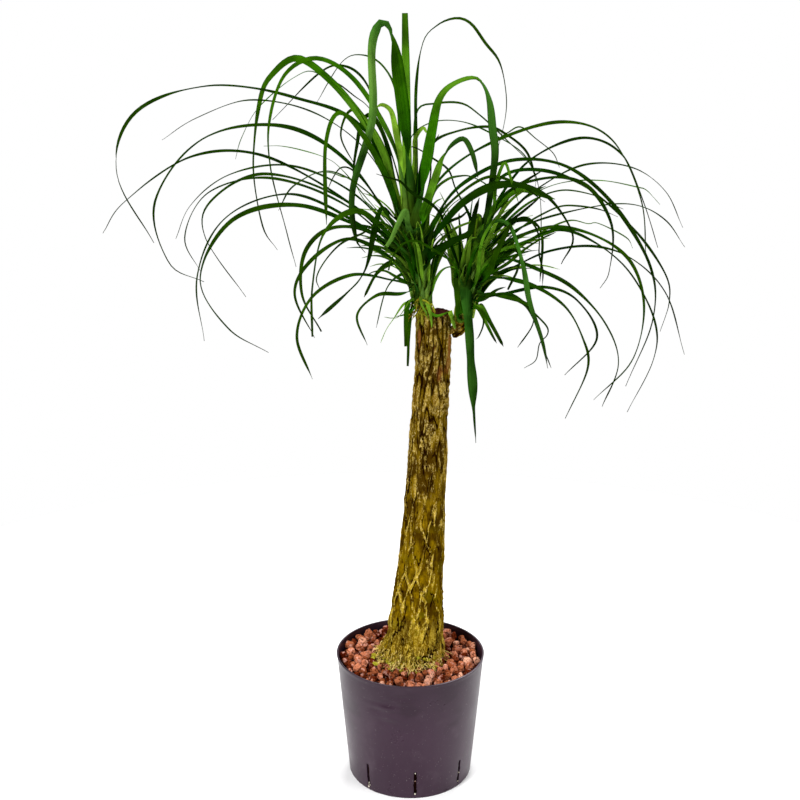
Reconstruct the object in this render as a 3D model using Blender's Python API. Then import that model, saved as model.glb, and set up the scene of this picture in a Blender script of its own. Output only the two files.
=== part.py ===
"""A ponytail palm growing in a plastic culture pot of clay granules.

Metres, +Z up. The origin is the middle of the pot's underside, and the plant faces -Y.
The trunk stands in the granules, two leafy shoots grow from its cut top, and each leaf
is a strap that rises from its shoot and arches over.
"""

import math

import bpy
import bmesh
from mathutils import Matrix, Vector, noise

# ---- Driving dimensions --------------------------------------------------------------
CM = 0.01
MM = 0.001
GAP = 0.0003

POT_HEIGHT = 0.190
POT_TOP_RADIUS = 0.110
POT_BASE_RADIUS = 0.0931
POT_WALL = 0.0025
POT_FLOOR = 0.003
POT_FOOT_CHAMFER = 0.0015
POT_SIDES = 48

SLIT_COUNT = 8
SLIT_WIDTH = 0.003
SLIT_LOW = 0.006
SLIT_HIGH = 0.045
SLIT_FIRST_TURN = math.radians(4)

BED_HEIGHT = 0.178
BED_LUMP = 0.0022
BED_LUMP_PITCH = 0.016
BED_RINGS = (0.020, 0.052, 0.064, 0.076, 0.088, 0.098)
BED_SEED = Vector((3.1, 7.7, 0.4))

TRUNK_SIDES = 26
TRUNK_FOOT = 0.140
TRUNK_CUT = 0.706
TRUNK_CUT_BEVEL = 0.0015
ROOT_FLARE = 0.012
ROOT_FLARE_TOP = 0.235
BARK_RIPPLE = 0.02
SOCKET_GAP = 0.0005

# Height, how far the middle leans to +X, and radius, from the foot up to the cut.
TRUNK_STATIONS = (
    (0.140, 0.003, 0.036),
    (0.172, 0.003, 0.044),
    (0.186, 0.004, 0.047),
    (0.205, 0.006, 0.044),
    (0.235, 0.008, 0.0415),
    (0.265, 0.0105, 0.0388),
    (0.300, 0.0125, 0.0366),
    (0.340, 0.015, 0.0342),
    (0.415, 0.020, 0.0306),
    (0.490, 0.0235, 0.0282),
    (0.560, 0.026, 0.0261),
    (0.630, 0.030, 0.0251),
    (0.690, 0.0305, 0.0252),
    (TRUNK_CUT - TRUNK_CUT_BEVEL, 0.031, 0.0255),
    (TRUNK_CUT, 0.031, 0.0243),
)

SHOOT_SIDES = 20
# Middle (x, z) and radius in centimetres, from the seat on the trunk to the growing tip.
LEFT_SHOOT = (
    (1.75, TRUNK_CUT / CM + GAP / CM, 1.15),
    (1.55, 72.0, 1.35),
    (1.20, 74.5, 1.50),
    (0.70, 77.5, 1.40),
    (0.20, 80.5, 1.15),
    (-0.10, 82.5, 0.85),
    (-0.30, 84.5, 0.35),
)
RIGHT_SHOOT = (
    (5.57, 67.3, 0.80),
    (6.40, 67.8, 0.95),
    (7.00, 69.0, 1.20),
    (7.40, 71.0, 1.45),
    (7.90, 74.0, 1.55),
    (8.35, 77.5, 1.40),
    (8.70, 80.5, 1.10),
    (8.90, 82.5, 0.80),
    (9.00, 84.0, 0.35),
)

LEAF_STEPS = 19
LEAF_THICKNESS = 0.0011
LEAF_TIP_SHARE = 0.10
LEAF_ROOT_SHARE = 0.75
LEAF_FULL_AT = 0.22
REACH_EASE = 1.6

# Each leaf: height of its root on the shoot, width in millimetres, how far its tip lies
# behind (+) or in front of (-) the shoot, and the (x, z) places that it passes on its way
# to the tip. Heights, depths and places are in centimetres.
LEFT_LEAVES = (
    (80.5, 9, 3, ((-6, 94.5), (-15.5, 99), (-27, 100.5), (-37, 97), (-40, 89), (-35.5, 79.5))),
    (80.5, 7, 10, ((-5, 90.5), (-12.5, 96.5), (-22, 98.5), (-30, 96), (-35, 93))),
    (80.0, 9, -5, ((-8, 90.5), (-16.5, 95.5), (-27, 94), (-33.5, 86), (-32, 78), (-27.5, 75.5))),
    (79.5, 8, -9, ((-8.5, 86), (-19, 92), (-28, 92), (-36.5, 86.5), (-39.5, 82.5))),
    (79.0, 7, 14, ((-8, 86), (-17, 89.5), (-26, 88), (-32, 83.5), (-34.5, 78.5))),
    (78.5, 8, -13, ((-9, 86.5), (-18.5, 90), (-25, 87), (-26, 82.5), (-21, 75))),
    (78.0, 7, 2, ((-9, 85), (-19, 88.5), (-27.5, 86.5), (-31, 80.5), (-29, 75.5))),
    (78.2, 14, -16, ((-5.5, 82), (-14.5, 86), (-22.5, 84.5), (-26.5, 77.5), (-23, 71.5), (-18, 68.5))),
    (77.0, 9, 8, ((-7, 82), (-16.5, 86), (-26, 82.5), (-30.5, 74), (-30, 64.5))),
    (82.5, 16, 13, ((-2, 85.5), (-4, 92), (-7, 96.5), (-11, 101), (-15.5, 104), (-19, 102), (-21, 98.5),
                    (-22.5, 89), (-21.5, 80.5), (-19.5, 77))),
    (82.5, 10, -8, ((-1.5, 90), (-3.5, 95.5), (-7.5, 101.5), (-12, 104), (-16, 102), (-18, 96.5),
                    (-18, 90.5), (-16, 82), (-15, 78))),
    (83.0, 11, 16, ((-1.5, 90), (-4, 95.5), (-6.5, 101), (-9.5, 103), (-13, 102), (-20, 95.5))),
    (81.8, 6, 20, ((-1.5, 91.5), (-2, 99), (-4, 103), (-7, 104.5), (-10, 103.5), (-14, 97.5))),
    (83.5, 18, -9, ((-0.5, 90.5), (-1, 96.5), (-2.3, 105.5), (-3.2, 108), (-4.2, 107.8), (-5, 105),
                    (-5, 96.5), (-7.5, 88), (-7.2, 82), (-6, 80))),
    (80.5, 9, -16, ((-4, 91), (-8.5, 97.5), (-10.5, 94), (-10.5, 84.5))),
    (81.3, 7, 14, ((-4, 91.5), (-8, 97), (-10, 93.5), (-8, 89))),
    (79.0, 5, -14, ((-4.5, 86.5), (-10, 90.5), (-14.5, 89), (-16.5, 86))),
    (77.5, 16, -18, ((-3, 82), (-7, 85.5), (-11, 83), (-12.3, 77), (-12.3, 71))),
    (75.7, 8, -12, ((-4, 79.5), (-8.5, 81.5), (-13, 79), (-15, 75), (-12.5, 69.5))),
    (76.0, 8, -6, ((-5, 81.5), (-10.5, 82.5), (-14, 79.5), (-14.5, 74), (-12, 69))),
    (74.5, 7, -10, ((-3, 75.5), (-8, 76.5), (-13, 74), (-15, 69), (-13, 63.5))),
    (74.0, 6, -14, ((-1.5, 74), (-4.5, 74.5), (-7, 72.5), (-5.7, 69))),
    (82.0, 9, -12, ((-2.5, 84), (-4, 85), (-5, 82), (-5.5, 79.5), (-6.5, 77), (-8.5, 75), (-12, 72))),
    (75.0, 8, 0, ((-2, 77.3), (-4.5, 76), (-6.5, 72.5))),
    (75.0, 5, 8, ((-1.5, 75), (-3.5, 72.5), (-5, 66.5))),
    (73.0, 13, -4, ((-0.6, 71.5), (-0.8, 66.5))),
    (72.5, 8, -3, ((-0.2, 70), (-0.5, 63.5))),
    (83.5, 12, 2, ((-0.6, 92), (-0.9, 109.7))),
    (82.6, 6, 8, ((0.7, 89.5), (0.6, 99.5), (1.5, 106), (3.5, 108.3), (6, 109.2), (8, 108.5), (10, 106),
                  (12, 103.5), (13, 99.5), (13, 96), (12, 91.5))),
    (82.0, 16, -10, ((1.5, 88), (2.5, 94.5), (3.5, 99), (5.5, 101), (8.2, 101.5), (9.5, 99), (10, 95.5),
                     (10.3, 91.5), (9, 82.5))),
    (80.5, 12, -14, ((2.5, 88), (4, 92.5), (6, 94.5), (7.2, 93), (8, 90))),
    (81.2, 4, 16, ((0.4, 91), (0.8, 97), (3.5, 98), (7, 98), (9.5, 96.5), (13.5, 93), (17.5, 89),
                   (19, 84.5), (19.5, 77.5))),
    (80.5, 8, 7, ((1.3, 89.3), (3, 93), (6.5, 94.5), (10.5, 95), (13, 94), (16, 91.5), (17.5, 87.5))),
    (80.5, 9, 4, ((3.6, 88), (10.5, 93), (20, 95.8), (27, 93.5), (31.5, 85.5), (32.7, 77.7))),
    (78.5, 13, -8, ((4, 85), (8, 89), (13.5, 91.3), (20, 90.5), (26, 85.8), (31, 78), (31.7, 71),
                    (28.5, 62))),
    (77.0, 18, -18, ((3, 81.5), (6.5, 86.5), (11, 89), (16, 88), (19.3, 83.5), (18, 80))),
    (79.0, 9, -12, ((4, 85), (9, 89.5), (13, 89), (16.5, 86.8))),
)
RIGHT_LEAVES = (
    (81.0, 12, 12, ((12.8, 86.7), (17, 91), (24, 93.4), (29.8, 90.9), (33.5, 84), (36, 77.5))),
    (82.5, 9, 4, ((12, 88.5), (17.5, 89.5), (24, 87), (31, 81), (35.5, 75), (36.3, 71), (35.3, 66.8))),
    (80.0, 8, -14, ((12, 87), (17.5, 89.5), (22, 88.5), (24.8, 84), (24.6, 78.5), (23.5, 76.3))),
    (79.0, 5, 10, ((11.5, 82), (17, 86.5), (24, 89.8), (31, 89.3), (36, 86), (39, 80.7))),
    (77.5, 6, 6, ((12, 80), (17, 82.5), (25, 84.3), (31, 84.5), (35.5, 82.3), (38.5, 78.5))),
    (78.0, 12, -4, ((13, 80.3), (19, 82.3), (25, 81), (29.5, 77.5), (31.3, 71.5), (30, 64.5), (25, 59))),
    (77.3, 7, -10, ((13.5, 79.5), (19, 82.3), (24, 80.8), (28.5, 77), (31.7, 71), (31.7, 66), (28.5, 59))),
    (75.5, 7, 5, ((13, 76), (19, 78.5), (25.5, 79), (31, 77), (36, 72), (39.2, 63.2))),
    (76.2, 13, -12, ((12.3, 78.3), (16.5, 77.3), (21, 75.2), (25, 71), (26.8, 66), (24.8, 60.3))),
    (74.5, 12, -18, ((11, 76), (15.5, 75.7), (19.5, 73.5), (21.5, 70), (22, 66.5), (19.2, 60.5))),
    (73.0, 7, -6, ((12, 73.2), (17.6, 74.5), (22, 73), (24.8, 68), (20.6, 63))),
    (79.5, 14, -22, ((10.3, 83.5), (12.3, 83.5), (13.6, 79.5), (14.2, 75.5), (15.5, 71.5), (16.3, 68))),
    (73.5, 5, -14, ((11.3, 74), (15, 73.5), (15.4, 71.5), (13.4, 68.7))),
    (72.0, 9, -7, ((9.3, 71.8), (10.8, 69.6), (12.2, 67.2))),
    (76.0, 19, -9, ((7.5, 73), (7.8, 69), (8, 65), (8.3, 60), (8.6, 54.4))),
    (78.5, 8, 12, ((12, 81.5), (16.5, 82), (18.8, 79.5), (19, 72.5))),
    (81.5, 12, -6, ((11, 85), (14, 87.5), (18.5, 86.5))),
)


# ---- Helpers -------------------------------------------------------------------------
def clear_scene():
    for item in list(bpy.data.objects):
        bpy.data.objects.remove(item, do_unlink=True)


def material(name, colour, roughness, metallic=0.0):
    """A Principled material in a plain linear colour."""
    made = bpy.data.materials.new(name)
    made.use_nodes = True
    shader = made.node_tree.nodes["Principled BSDF"]
    shader.inputs["Base Color"].default_value = (*colour, 1.0)
    shader.inputs["Roughness"].default_value = roughness
    shader.inputs["Metallic"].default_value = metallic
    made.diffuse_color = (*colour, 1.0)
    return made


def add_object(name, form, look, sharp_angle=40):
    """A scene object from a bmesh, shaded smooth with its corners kept sharp."""
    bmesh.ops.recalc_face_normals(form, faces=form.faces)
    mesh = bpy.data.meshes.new(name)
    form.to_mesh(mesh)
    form.free()
    mesh.shade_smooth()
    mesh.set_sharp_from_angle(angle=math.radians(sharp_angle))
    made = bpy.data.objects.new(name, mesh)
    made.data.materials.append(look)
    bpy.context.scene.collection.objects.link(made)
    return made


def loft(form, rings):
    """Joins rings of points that hold the same number each, and caps both ends."""
    loops = [[form.verts.new(point) for point in ring] for ring in rings]
    count = len(loops[0])
    for low, high in zip(loops, loops[1:]):
        for i in range(count):
            j = (i + 1) % count
            form.faces.new((low[i], low[j], high[j], high[i]))
    form.faces.new(reversed(loops[0]))
    form.faces.new(loops[-1])
    return loops


def turned(form, outline, sides):
    """Turns an outline of (radius, height) about the Z axis and closes it at both ends."""
    rings = []
    for radius, height in outline:
        turns = [2 * math.pi * i / sides for i in range(sides)]
        rings.append([Vector((radius * math.cos(a), radius * math.sin(a), height)) for a in turns])
    return loft(form, rings)


def between(table, height):
    """Straight-line reading of a table whose rows start with a rising height."""
    for low, high in zip(table, table[1:]):
        if height <= high[0]:
            share = max(0.0, (height - low[0]) / (high[0] - low[0]))
            return [a + (b - a) * share for a, b in zip(low, high)]
    return list(table[-1])


def cut_with(target, cutter):
    """Subtracts a helper object, which is kept out of the part."""
    cutter.hide_render = True
    cutter.display_type = "WIRE"
    cut = target.modifiers.new(cutter.name, "BOOLEAN")
    cut.operation = "DIFFERENCE"
    cut.solver = "EXACT"
    cut.object = cutter


# ---- Pot and granules ----------------------------------------------------------------
def pot_radius(height):
    return POT_BASE_RADIUS + (POT_TOP_RADIUS - POT_BASE_RADIUS) * height / POT_HEIGHT


def slit_cutter():
    """Narrow upright slits round the foot of the pot, as one helper object."""
    form = bmesh.new()
    height = SLIT_HIGH - SLIT_LOW
    middle = (SLIT_HIGH + SLIT_LOW) / 2
    for i in range(SLIT_COUNT):
        turn = Matrix.Rotation(SLIT_FIRST_TURN + 2 * math.pi * i / SLIT_COUNT, 4, "Z")
        place = turn @ Matrix.Translation((0, -pot_radius(middle), middle))
        size = Matrix.Diagonal((SLIT_WIDTH, 8 * POT_WALL, height, 1))
        bmesh.ops.create_cube(form, size=1.0, matrix=place @ size)
    return add_object("slit_cutter", form, plastic)


def make_pot():
    """A thin straight-tapered pot with a flat floor and a chamfered foot."""
    outline = (
        (POT_BASE_RADIUS - POT_FOOT_CHAMFER, 0.0),
        (pot_radius(POT_FOOT_CHAMFER), POT_FOOT_CHAMFER),
        (POT_TOP_RADIUS, POT_HEIGHT),
        (POT_TOP_RADIUS - POT_WALL, POT_HEIGHT),
        (pot_radius(POT_FLOOR) - POT_WALL, POT_FLOOR),
    )
    form = bmesh.new()
    turned(form, outline, POT_SIDES)
    pot = add_object("pot", form, plastic)
    cut_with(pot, slit_cutter())


def lump(x, y):
    """Height of the granules' lumpy top at a place, about its mean."""
    near = noise.voronoi(Vector((x, y, 0)) / BED_LUMP_PITCH + BED_SEED)[0][0]
    return BED_LUMP * (1.0 - 2.2 * near)


def make_granule_bed():
    """The granules as one body that fills the pot, with a socket for the trunk's foot."""
    floor = POT_FLOOR + GAP
    slack = POT_WALL + GAP
    edge = pot_radius(BED_HEIGHT) - slack
    outline = [(pot_radius(floor) - slack, floor), (edge, BED_HEIGHT)]
    outline += [(radius, BED_HEIGHT) for radius in reversed(BED_RINGS)]
    form = bmesh.new()
    for loop in turned(form, outline, POT_SIDES)[2:]:
        for point in loop:
            point.co.z += lump(point.co.x, point.co.y)
    bed = add_object("granule_bed", form, clay)
    cut_with(bed, trunk_socket())


# ---- Trunk and shoots ----------------------------------------------------------------
def trunk_ring(height, swell=0.0):
    """One ring of the trunk: a rippled circle that swells to -X where a root leaves it."""
    _, lean, radius = between(TRUNK_STATIONS, height)
    low = max(0.0, min(1.0, (ROOT_FLARE_TOP - height) / (ROOT_FLARE_TOP - TRUNK_FOOT)))
    ring = []
    for i in range(TRUNK_SIDES):
        turn = 2 * math.pi * i / TRUNK_SIDES
        ripple = math.sin(5 * turn + 9 * height) + 0.6 * math.sin(8 * turn - 21 * height)
        root = ROOT_FLARE * low * max(0.0, -math.cos(turn)) ** 3
        reach = radius * (1 + BARK_RIPPLE * ripple) + root + swell
        ring.append(Vector((lean + reach * math.cos(turn), reach * math.sin(turn), height)))
    return ring


def make_trunk():
    form = bmesh.new()
    loft(form, [trunk_ring(station[0]) for station in TRUNK_STATIONS])
    add_object("trunk", form, bark)


def trunk_socket():
    """The trunk's foot, a gap larger all round, as a helper that is cut from the granules."""
    heights = [station[0] for station in TRUNK_STATIONS if station[0] < BED_HEIGHT + ROOT_FLARE]
    rings = [trunk_ring(height, SOCKET_GAP) for height in heights]
    rings[0] = [point - Vector((0, 0, GAP)) for point in rings[0]]
    form = bmesh.new()
    loft(form, rings + [trunk_ring(ROOT_FLARE_TOP, SOCKET_GAP)])
    return add_object("socket_cutter", form, clay)


def shoot_rings(stations):
    """Rings square to the shoot's own line, which lies in the XZ plane."""
    middles = [Vector((x, 0, z)) * CM for x, z, _ in stations]
    rings = []
    for i, (_, _, radius) in enumerate(stations):
        ahead = middles[min(i + 1, len(middles) - 1)] - middles[max(i - 1, 0)]
        if i == 0 and stations is LEFT_SHOOT:
            ahead = Vector((0, 0, 1))
        if i == 0 and stations is RIGHT_SHOOT:
            ahead = Vector((1, 0, 0))
        ahead.normalize()
        side = Vector((0, 1, 0))
        out = side.cross(ahead)
        turns = [2 * math.pi * k / SHOOT_SIDES for k in range(SHOOT_SIDES)]
        rings.append([middles[i] + radius * CM * (out * math.cos(a) + side * math.sin(a)) for a in turns])
    return rings


def make_shoot(name, stations):
    form = bmesh.new()
    loft(form, shoot_rings(stations))
    add_object(name, form, sheath, sharp_angle=60)


# ---- Leaves --------------------------------------------------------------------------
def smooth_route(places, steps):
    """Evenly spaced points on a Catmull-Rom curve through the places."""
    ends = [places[0] * 2 - places[1], *places, places[-1] * 2 - places[-2]]
    fine = []
    for a, b, c, d in zip(ends, ends[1:], ends[2:], ends[3:]):
        for k in range(12):
            t = k / 12
            fine.append(
                0.5 * ((2 * b) + (c - a) * t + (2 * a - 5 * b + 4 * c - d) * t**2
                       + (3 * b - a - 3 * c + d) * t**3)
            )
    fine.append(places[-1])
    lengths = [0.0]
    for a, b in zip(fine, fine[1:]):
        lengths.append(lengths[-1] + (b - a).length)
    table = [(length, *point) for length, point in zip(lengths, fine)]
    return [Vector(between(table, lengths[-1] * i / steps)[1:]) for i in range(steps + 1)]


def leaf_places(stations, root_height, reach, passes):
    """The places that a leaf passes, from just clear of the shoot, and its way out of it."""
    by_height = [(z * CM, x * CM, radius * CM) for x, z, radius in stations]
    root_z, axis_x, radius = between(by_height, root_height * CM)
    flat = [Vector((axis_x, root_z)), *(Vector(place) * CM for place in passes)]
    lengths = [0.0]
    for a, b in zip(flat, flat[1:]):
        lengths.append(lengths[-1] + (b - a).length)
    shares = [1 - (1 - length / lengths[-1]) ** REACH_EASE for length in lengths]
    outward = Vector((flat[1].x - axis_x, reach * CM * shares[1], 0)).normalized()
    downward = max(0.0, -(flat[1] - flat[0]).normalized().y)
    keel_inward = LEAF_THICKNESS * downward
    seat = outward * (radius + GAP + keel_inward)
    places = [
        Vector((point.x, reach * CM * share + seat.y * (1 - share), point.y))
        for point, share in zip(flat, shares)
    ]
    places[0].x += seat.x
    return places, outward


def leaf_width(share):
    """Share of a leaf's full width at a share of its length."""
    if share < LEAF_FULL_AT:
        return LEAF_ROOT_SHARE + (1 - LEAF_ROOT_SHARE) * share / LEAF_FULL_AT
    past = (share - LEAF_FULL_AT) / (1 - LEAF_FULL_AT)
    return 1 - (1 - LEAF_TIP_SHARE) * past**1.8


def leaf_rings(route, outward, width):
    """Three-cornered sections: a flat upper face and a keel under the midrib."""
    side = outward.cross(Vector((0, 0, 1)))
    rings = []
    for i, middle in enumerate(route):
        ahead = (route[min(i + 1, len(route) - 1)] - route[max(i - 1, 0)]).normalized()
        side = (side - ahead * side.dot(ahead)).normalized()
        under = side.cross(ahead) * -1
        half = width * MM / 2 * leaf_width(i / (len(route) - 1))
        keel = LEAF_THICKNESS * (0.5 + 0.5 * leaf_width(i / (len(route) - 1)))
        rings.append([middle + side * half, middle - side * half, middle + under * keel])
    return rings


def make_leaf(name, stations, root_height, width, reach, passes):
    places, outward = leaf_places(stations, root_height, reach, passes)
    form = bmesh.new()
    loft(form, leaf_rings(smooth_route(places, LEAF_STEPS), outward, width))
    add_object(name, form, blade, sharp_angle=70)


def make_leaves(label, stations, leaves):
    for number, (root_height, width, reach, passes) in enumerate(leaves, start=1):
        make_leaf(f"leaf_{label}_{number:02d}", stations, root_height, width, reach, passes)


# ---- Assembly ------------------------------------------------------------------------
clear_scene()
plastic = material("plastic", (0.035, 0.028, 0.038), 0.38)
clay = material("clay", (0.23, 0.12, 0.09), 0.9)
bark = material("bark", (0.20, 0.13, 0.07), 0.85)
sheath = material("sheath", (0.22, 0.30, 0.05), 0.6)
blade = material("blade", (0.05, 0.16, 0.02), 0.45)

make_pot()
make_granule_bed()
make_trunk()
make_shoot("shoot_left", LEFT_SHOOT)
make_shoot("shoot_right", RIGHT_SHOOT)
make_leaves("left", LEFT_SHOOT, LEFT_LEAVES)
make_leaves("right", RIGHT_SHOOT, RIGHT_LEAVES)
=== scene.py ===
# %% [markdown]
# # A ponytail palm in its culture pot
# The plant is four kinds of thing: a thin plastic pot, a bed of fired clay granules, a corky
# trunk with two green shoots, and about a hundred strap leaves. The imported model gives every
# place and size, so the first step is to load it and to keep its box.

# %% Load the imported model
import math
import random

import bmesh
import bpy
from mathutils import Euler, Matrix, Vector, noise


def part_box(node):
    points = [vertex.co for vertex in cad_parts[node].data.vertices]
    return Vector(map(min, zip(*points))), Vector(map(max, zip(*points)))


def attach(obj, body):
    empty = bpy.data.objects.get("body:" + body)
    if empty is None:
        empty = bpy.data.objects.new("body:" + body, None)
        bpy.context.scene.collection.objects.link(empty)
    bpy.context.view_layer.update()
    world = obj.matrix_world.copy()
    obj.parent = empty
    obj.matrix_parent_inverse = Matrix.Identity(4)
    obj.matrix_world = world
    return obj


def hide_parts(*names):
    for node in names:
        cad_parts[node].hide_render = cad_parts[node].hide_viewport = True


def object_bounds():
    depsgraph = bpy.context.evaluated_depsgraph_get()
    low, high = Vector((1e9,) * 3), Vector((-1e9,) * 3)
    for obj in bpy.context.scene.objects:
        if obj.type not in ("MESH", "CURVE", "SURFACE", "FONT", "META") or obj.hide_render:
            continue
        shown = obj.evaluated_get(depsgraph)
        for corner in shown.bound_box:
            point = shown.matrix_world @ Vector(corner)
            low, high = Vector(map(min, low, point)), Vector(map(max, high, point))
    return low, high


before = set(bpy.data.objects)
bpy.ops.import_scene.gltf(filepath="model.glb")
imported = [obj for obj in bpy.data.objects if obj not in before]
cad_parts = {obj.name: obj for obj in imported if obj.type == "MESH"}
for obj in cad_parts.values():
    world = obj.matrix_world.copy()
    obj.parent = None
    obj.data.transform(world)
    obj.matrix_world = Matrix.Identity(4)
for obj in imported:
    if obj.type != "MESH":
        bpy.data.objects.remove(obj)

CAD_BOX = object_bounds()
CM = 0.01
MM = 0.001
print("nodes:", len(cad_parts), "box:", CAD_BOX)

# %% [markdown]
# ## Finishes are node trees
# Every finish is a Principled shader fed by a few pattern nodes. The small class below only saves
# typing: each method adds a node, feeds its sockets, and returns the output that the next one
# needs. Patterns read the piece's own coordinates, in metres.

# %% Finish helper
class Finish:
    def __init__(self, name, roughness, specular=0.5, tint=(1.0, 1.0, 1.0)):
        self.material = bpy.data.materials.new(name)
        self.material.use_nodes = True
        self.tree = self.material.node_tree
        self.shader = self.tree.nodes["Principled BSDF"]
        self.feed(self.shader, {"Roughness": roughness, "Specular IOR Level": specular,
                                "Specular Tint": tint})

    def feed(self, node, sources):
        """Gives a node's sockets a number, a colour or another node's output."""
        for key, value in sources.items():
            socket = node.inputs[key]
            if isinstance(value, bpy.types.NodeSocket):
                self.tree.links.new(value, socket)
            elif socket.type == "RGBA":
                socket.default_value = (*value, 1.0)
            else:
                socket.default_value = value

    def add(self, kind, output, sources, **settings):
        node = self.tree.nodes.new("ShaderNode" + kind)
        for key, value in settings.items():
            setattr(node, key, value)
        self.feed(node, sources)
        return node.outputs[output]

    def places(self, kind="Object"):
        """The piece's own coordinates, or the leaf's own map ("UV"): across, and root to tip."""
        return self.add("TexCoord", kind, {})

    def along(self, axis, way=None):
        """One of the coordinates: "Z" is the height over the floor, in metres."""
        return self.add("SeparateXYZ", axis, {"Vector": way or self.places()})

    def stored(self, name):
        """A number that was stored on the piece's vertices."""
        return self.add("Attribute", "Fac", {}, attribute_name=name)

    def grain(self, scale, detail=3.0, roughness=0.55, stretch=None, way=None):
        way = way or self.places()
        if stretch:
            way = self.add("Mapping", "Vector", {"Vector": way, "Scale": stretch})
        return self.add("TexNoise", "Fac", {
            "Vector": way, "Scale": scale, "Detail": detail, "Roughness": roughness})

    def step(self, value, low, high, start=0.0, end=1.0):
        """Goes softly from one number to another while a value rises from low to high."""
        return self.add("MapRange", "Result", {
            "Value": value, "From Min": low, "From Max": high, "To Min": start, "To Max": end,
        }, interpolation_type="SMOOTHSTEP")

    def mix(self, share, first, second, blend="MIX"):
        """Two colours, or a colour and a pattern, mixed by a number or a pattern."""
        return self.add("Mix", 2, {0: share, 6: first, 7: second},
                        data_type="RGBA", blend_type=blend)

    def times(self, first, second):
        return self.add("Math", 0, {0: first, 1: second}, operation="MULTIPLY")

    def ramp(self, value, *stops):
        """Colours picked by a value, from pairs of a value and a colour."""
        colour = self.add("ValToRGB", "Color", {"Fac": value})
        ramp = colour.node.color_ramp
        while len(ramp.elements) < len(stops):
            ramp.elements.new(0.5)
        for element, (at, shade) in zip(ramp.elements, stops):
            element.position = at
            element.color = (*shade, 1.0)
        return colour

    def paint(self, colour, height=None, strength=1.0, depth=0.0):
        """Gives the shader its colour, and a relief if there is one."""
        self.feed(self.shader, {"Base Color": colour})
        if height:
            bump = self.add("Bump", "Normal", {
                "Height": height, "Strength": strength, "Distance": depth})
            self.feed(self.shader, {"Normal": bump})
        return self.material

# %% [markdown]
# ## Studio
# A plant like this is shown on white with broad, soft light: one big lamp in front on the left,
# a weaker one on the right, and one behind and above, which shines through the thin leaves.
# The sky is white where it is seen, and greyer as a light, so that shade stays dark.

# %% Floor and sky
FLOOR_RADIUS = 1.35
FLOOR_SHADE = (0.95, 0.95, 0.95)
SKY_LIGHT = 0.30


def plain_floor():
    bpy.ops.mesh.primitive_circle_add(vertices=96, radius=FLOOR_RADIUS, fill_type="NGON")
    floor = bpy.context.active_object
    floor.name = "studio_floor"
    floor.data.materials.append(Finish("pale_floor", 0.9, 0.0).paint(FLOOR_SHADE))


def white_sky():
    world = bpy.data.worlds.new("studio")
    world.use_nodes = True
    bpy.context.scene.world = world
    nodes, links = world.node_tree.nodes, world.node_tree.links
    lights = nodes.new("ShaderNodeMapRange")
    lights.inputs["To Min"].default_value = SKY_LIGHT
    lights.inputs["To Max"].default_value = 1.0
    links.new(nodes.new("ShaderNodeLightPath").outputs["Is Camera Ray"], lights.inputs["Value"])
    links.new(lights.outputs["Result"], nodes["Background"].inputs["Strength"])
    nodes["Background"].inputs["Color"].default_value = (1, 1, 1, 1)


plain_floor()
white_sky()
bpy.context.scene.view_settings.view_transform = "Standard"

# %% Lamps
PLANT_MIDDLE = Vector((0.0, 0.0, 0.62))
# Name, place, width in metres and power in watts.
LAMPS = (
    ("lamp_front_left", (-1.3, -1.5, 2.0), 0.8, 68),
    ("lamp_front_right", (1.7, -1.2, 1.5), 0.9, 26),
    ("lamp_behind", (0.4, 1.4, 2.0), 1.2, 52),
)
for lamp_name, place, width, watts in LAMPS:
    bpy.ops.object.light_add(type="AREA", location=place)
    lamp = bpy.context.active_object
    lamp.name = lamp_name
    lamp.data.size = width
    lamp.data.energy = watts
    lamp.rotation_euler = (PLANT_MIDDLE - Vector(place)).to_track_quat("-Z", "Y").to_euler()
print("lamps:", [name for name, *_ in LAMPS])

# %% Camera
CAMERA_PLACE = (-0.0154, -1.63, 1.037)
CAMERA_DOWN = math.radians(15.71)
CAMERA_LENS = 54.27
SENSOR_WIDTH = 36.0
bpy.ops.object.camera_add(location=CAMERA_PLACE, rotation=(math.pi / 2 - CAMERA_DOWN, 0, 0))
camera = bpy.context.active_object
camera.data.lens = CAMERA_LENS
camera.data.sensor_width = SENSOR_WIDTH
bpy.context.scene.camera = camera
print("camera at", CAMERA_PLACE)

# %% [markdown]
# ## Finishes
# The pot is a thin, dark aubergine plastic with a soft gloss. Its colour is nearly even, with
# faint upright flow marks from moulding and a dusty bloom, and its gloss is rubbed unevenly.
# Painted shade darkens the wall towards its top, and soft patches of painted shade stand in for
# the shade of the dents.

# %% Plastic
PLASTIC_TINT = (1.0, 0.78, 0.96)
AUBERGINE = (0.028, 0.0138, 0.0242), (0.035, 0.0175, 0.030)
DUST, SPECK = (0.080, 0.056, 0.072), (0.45, 0.42, 0.40)
PAINTED_TOP_SHADE, DENT_SHADE = (0.016, 0.008, 0.013), (0.015, 0.007, 0.012)


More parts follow.
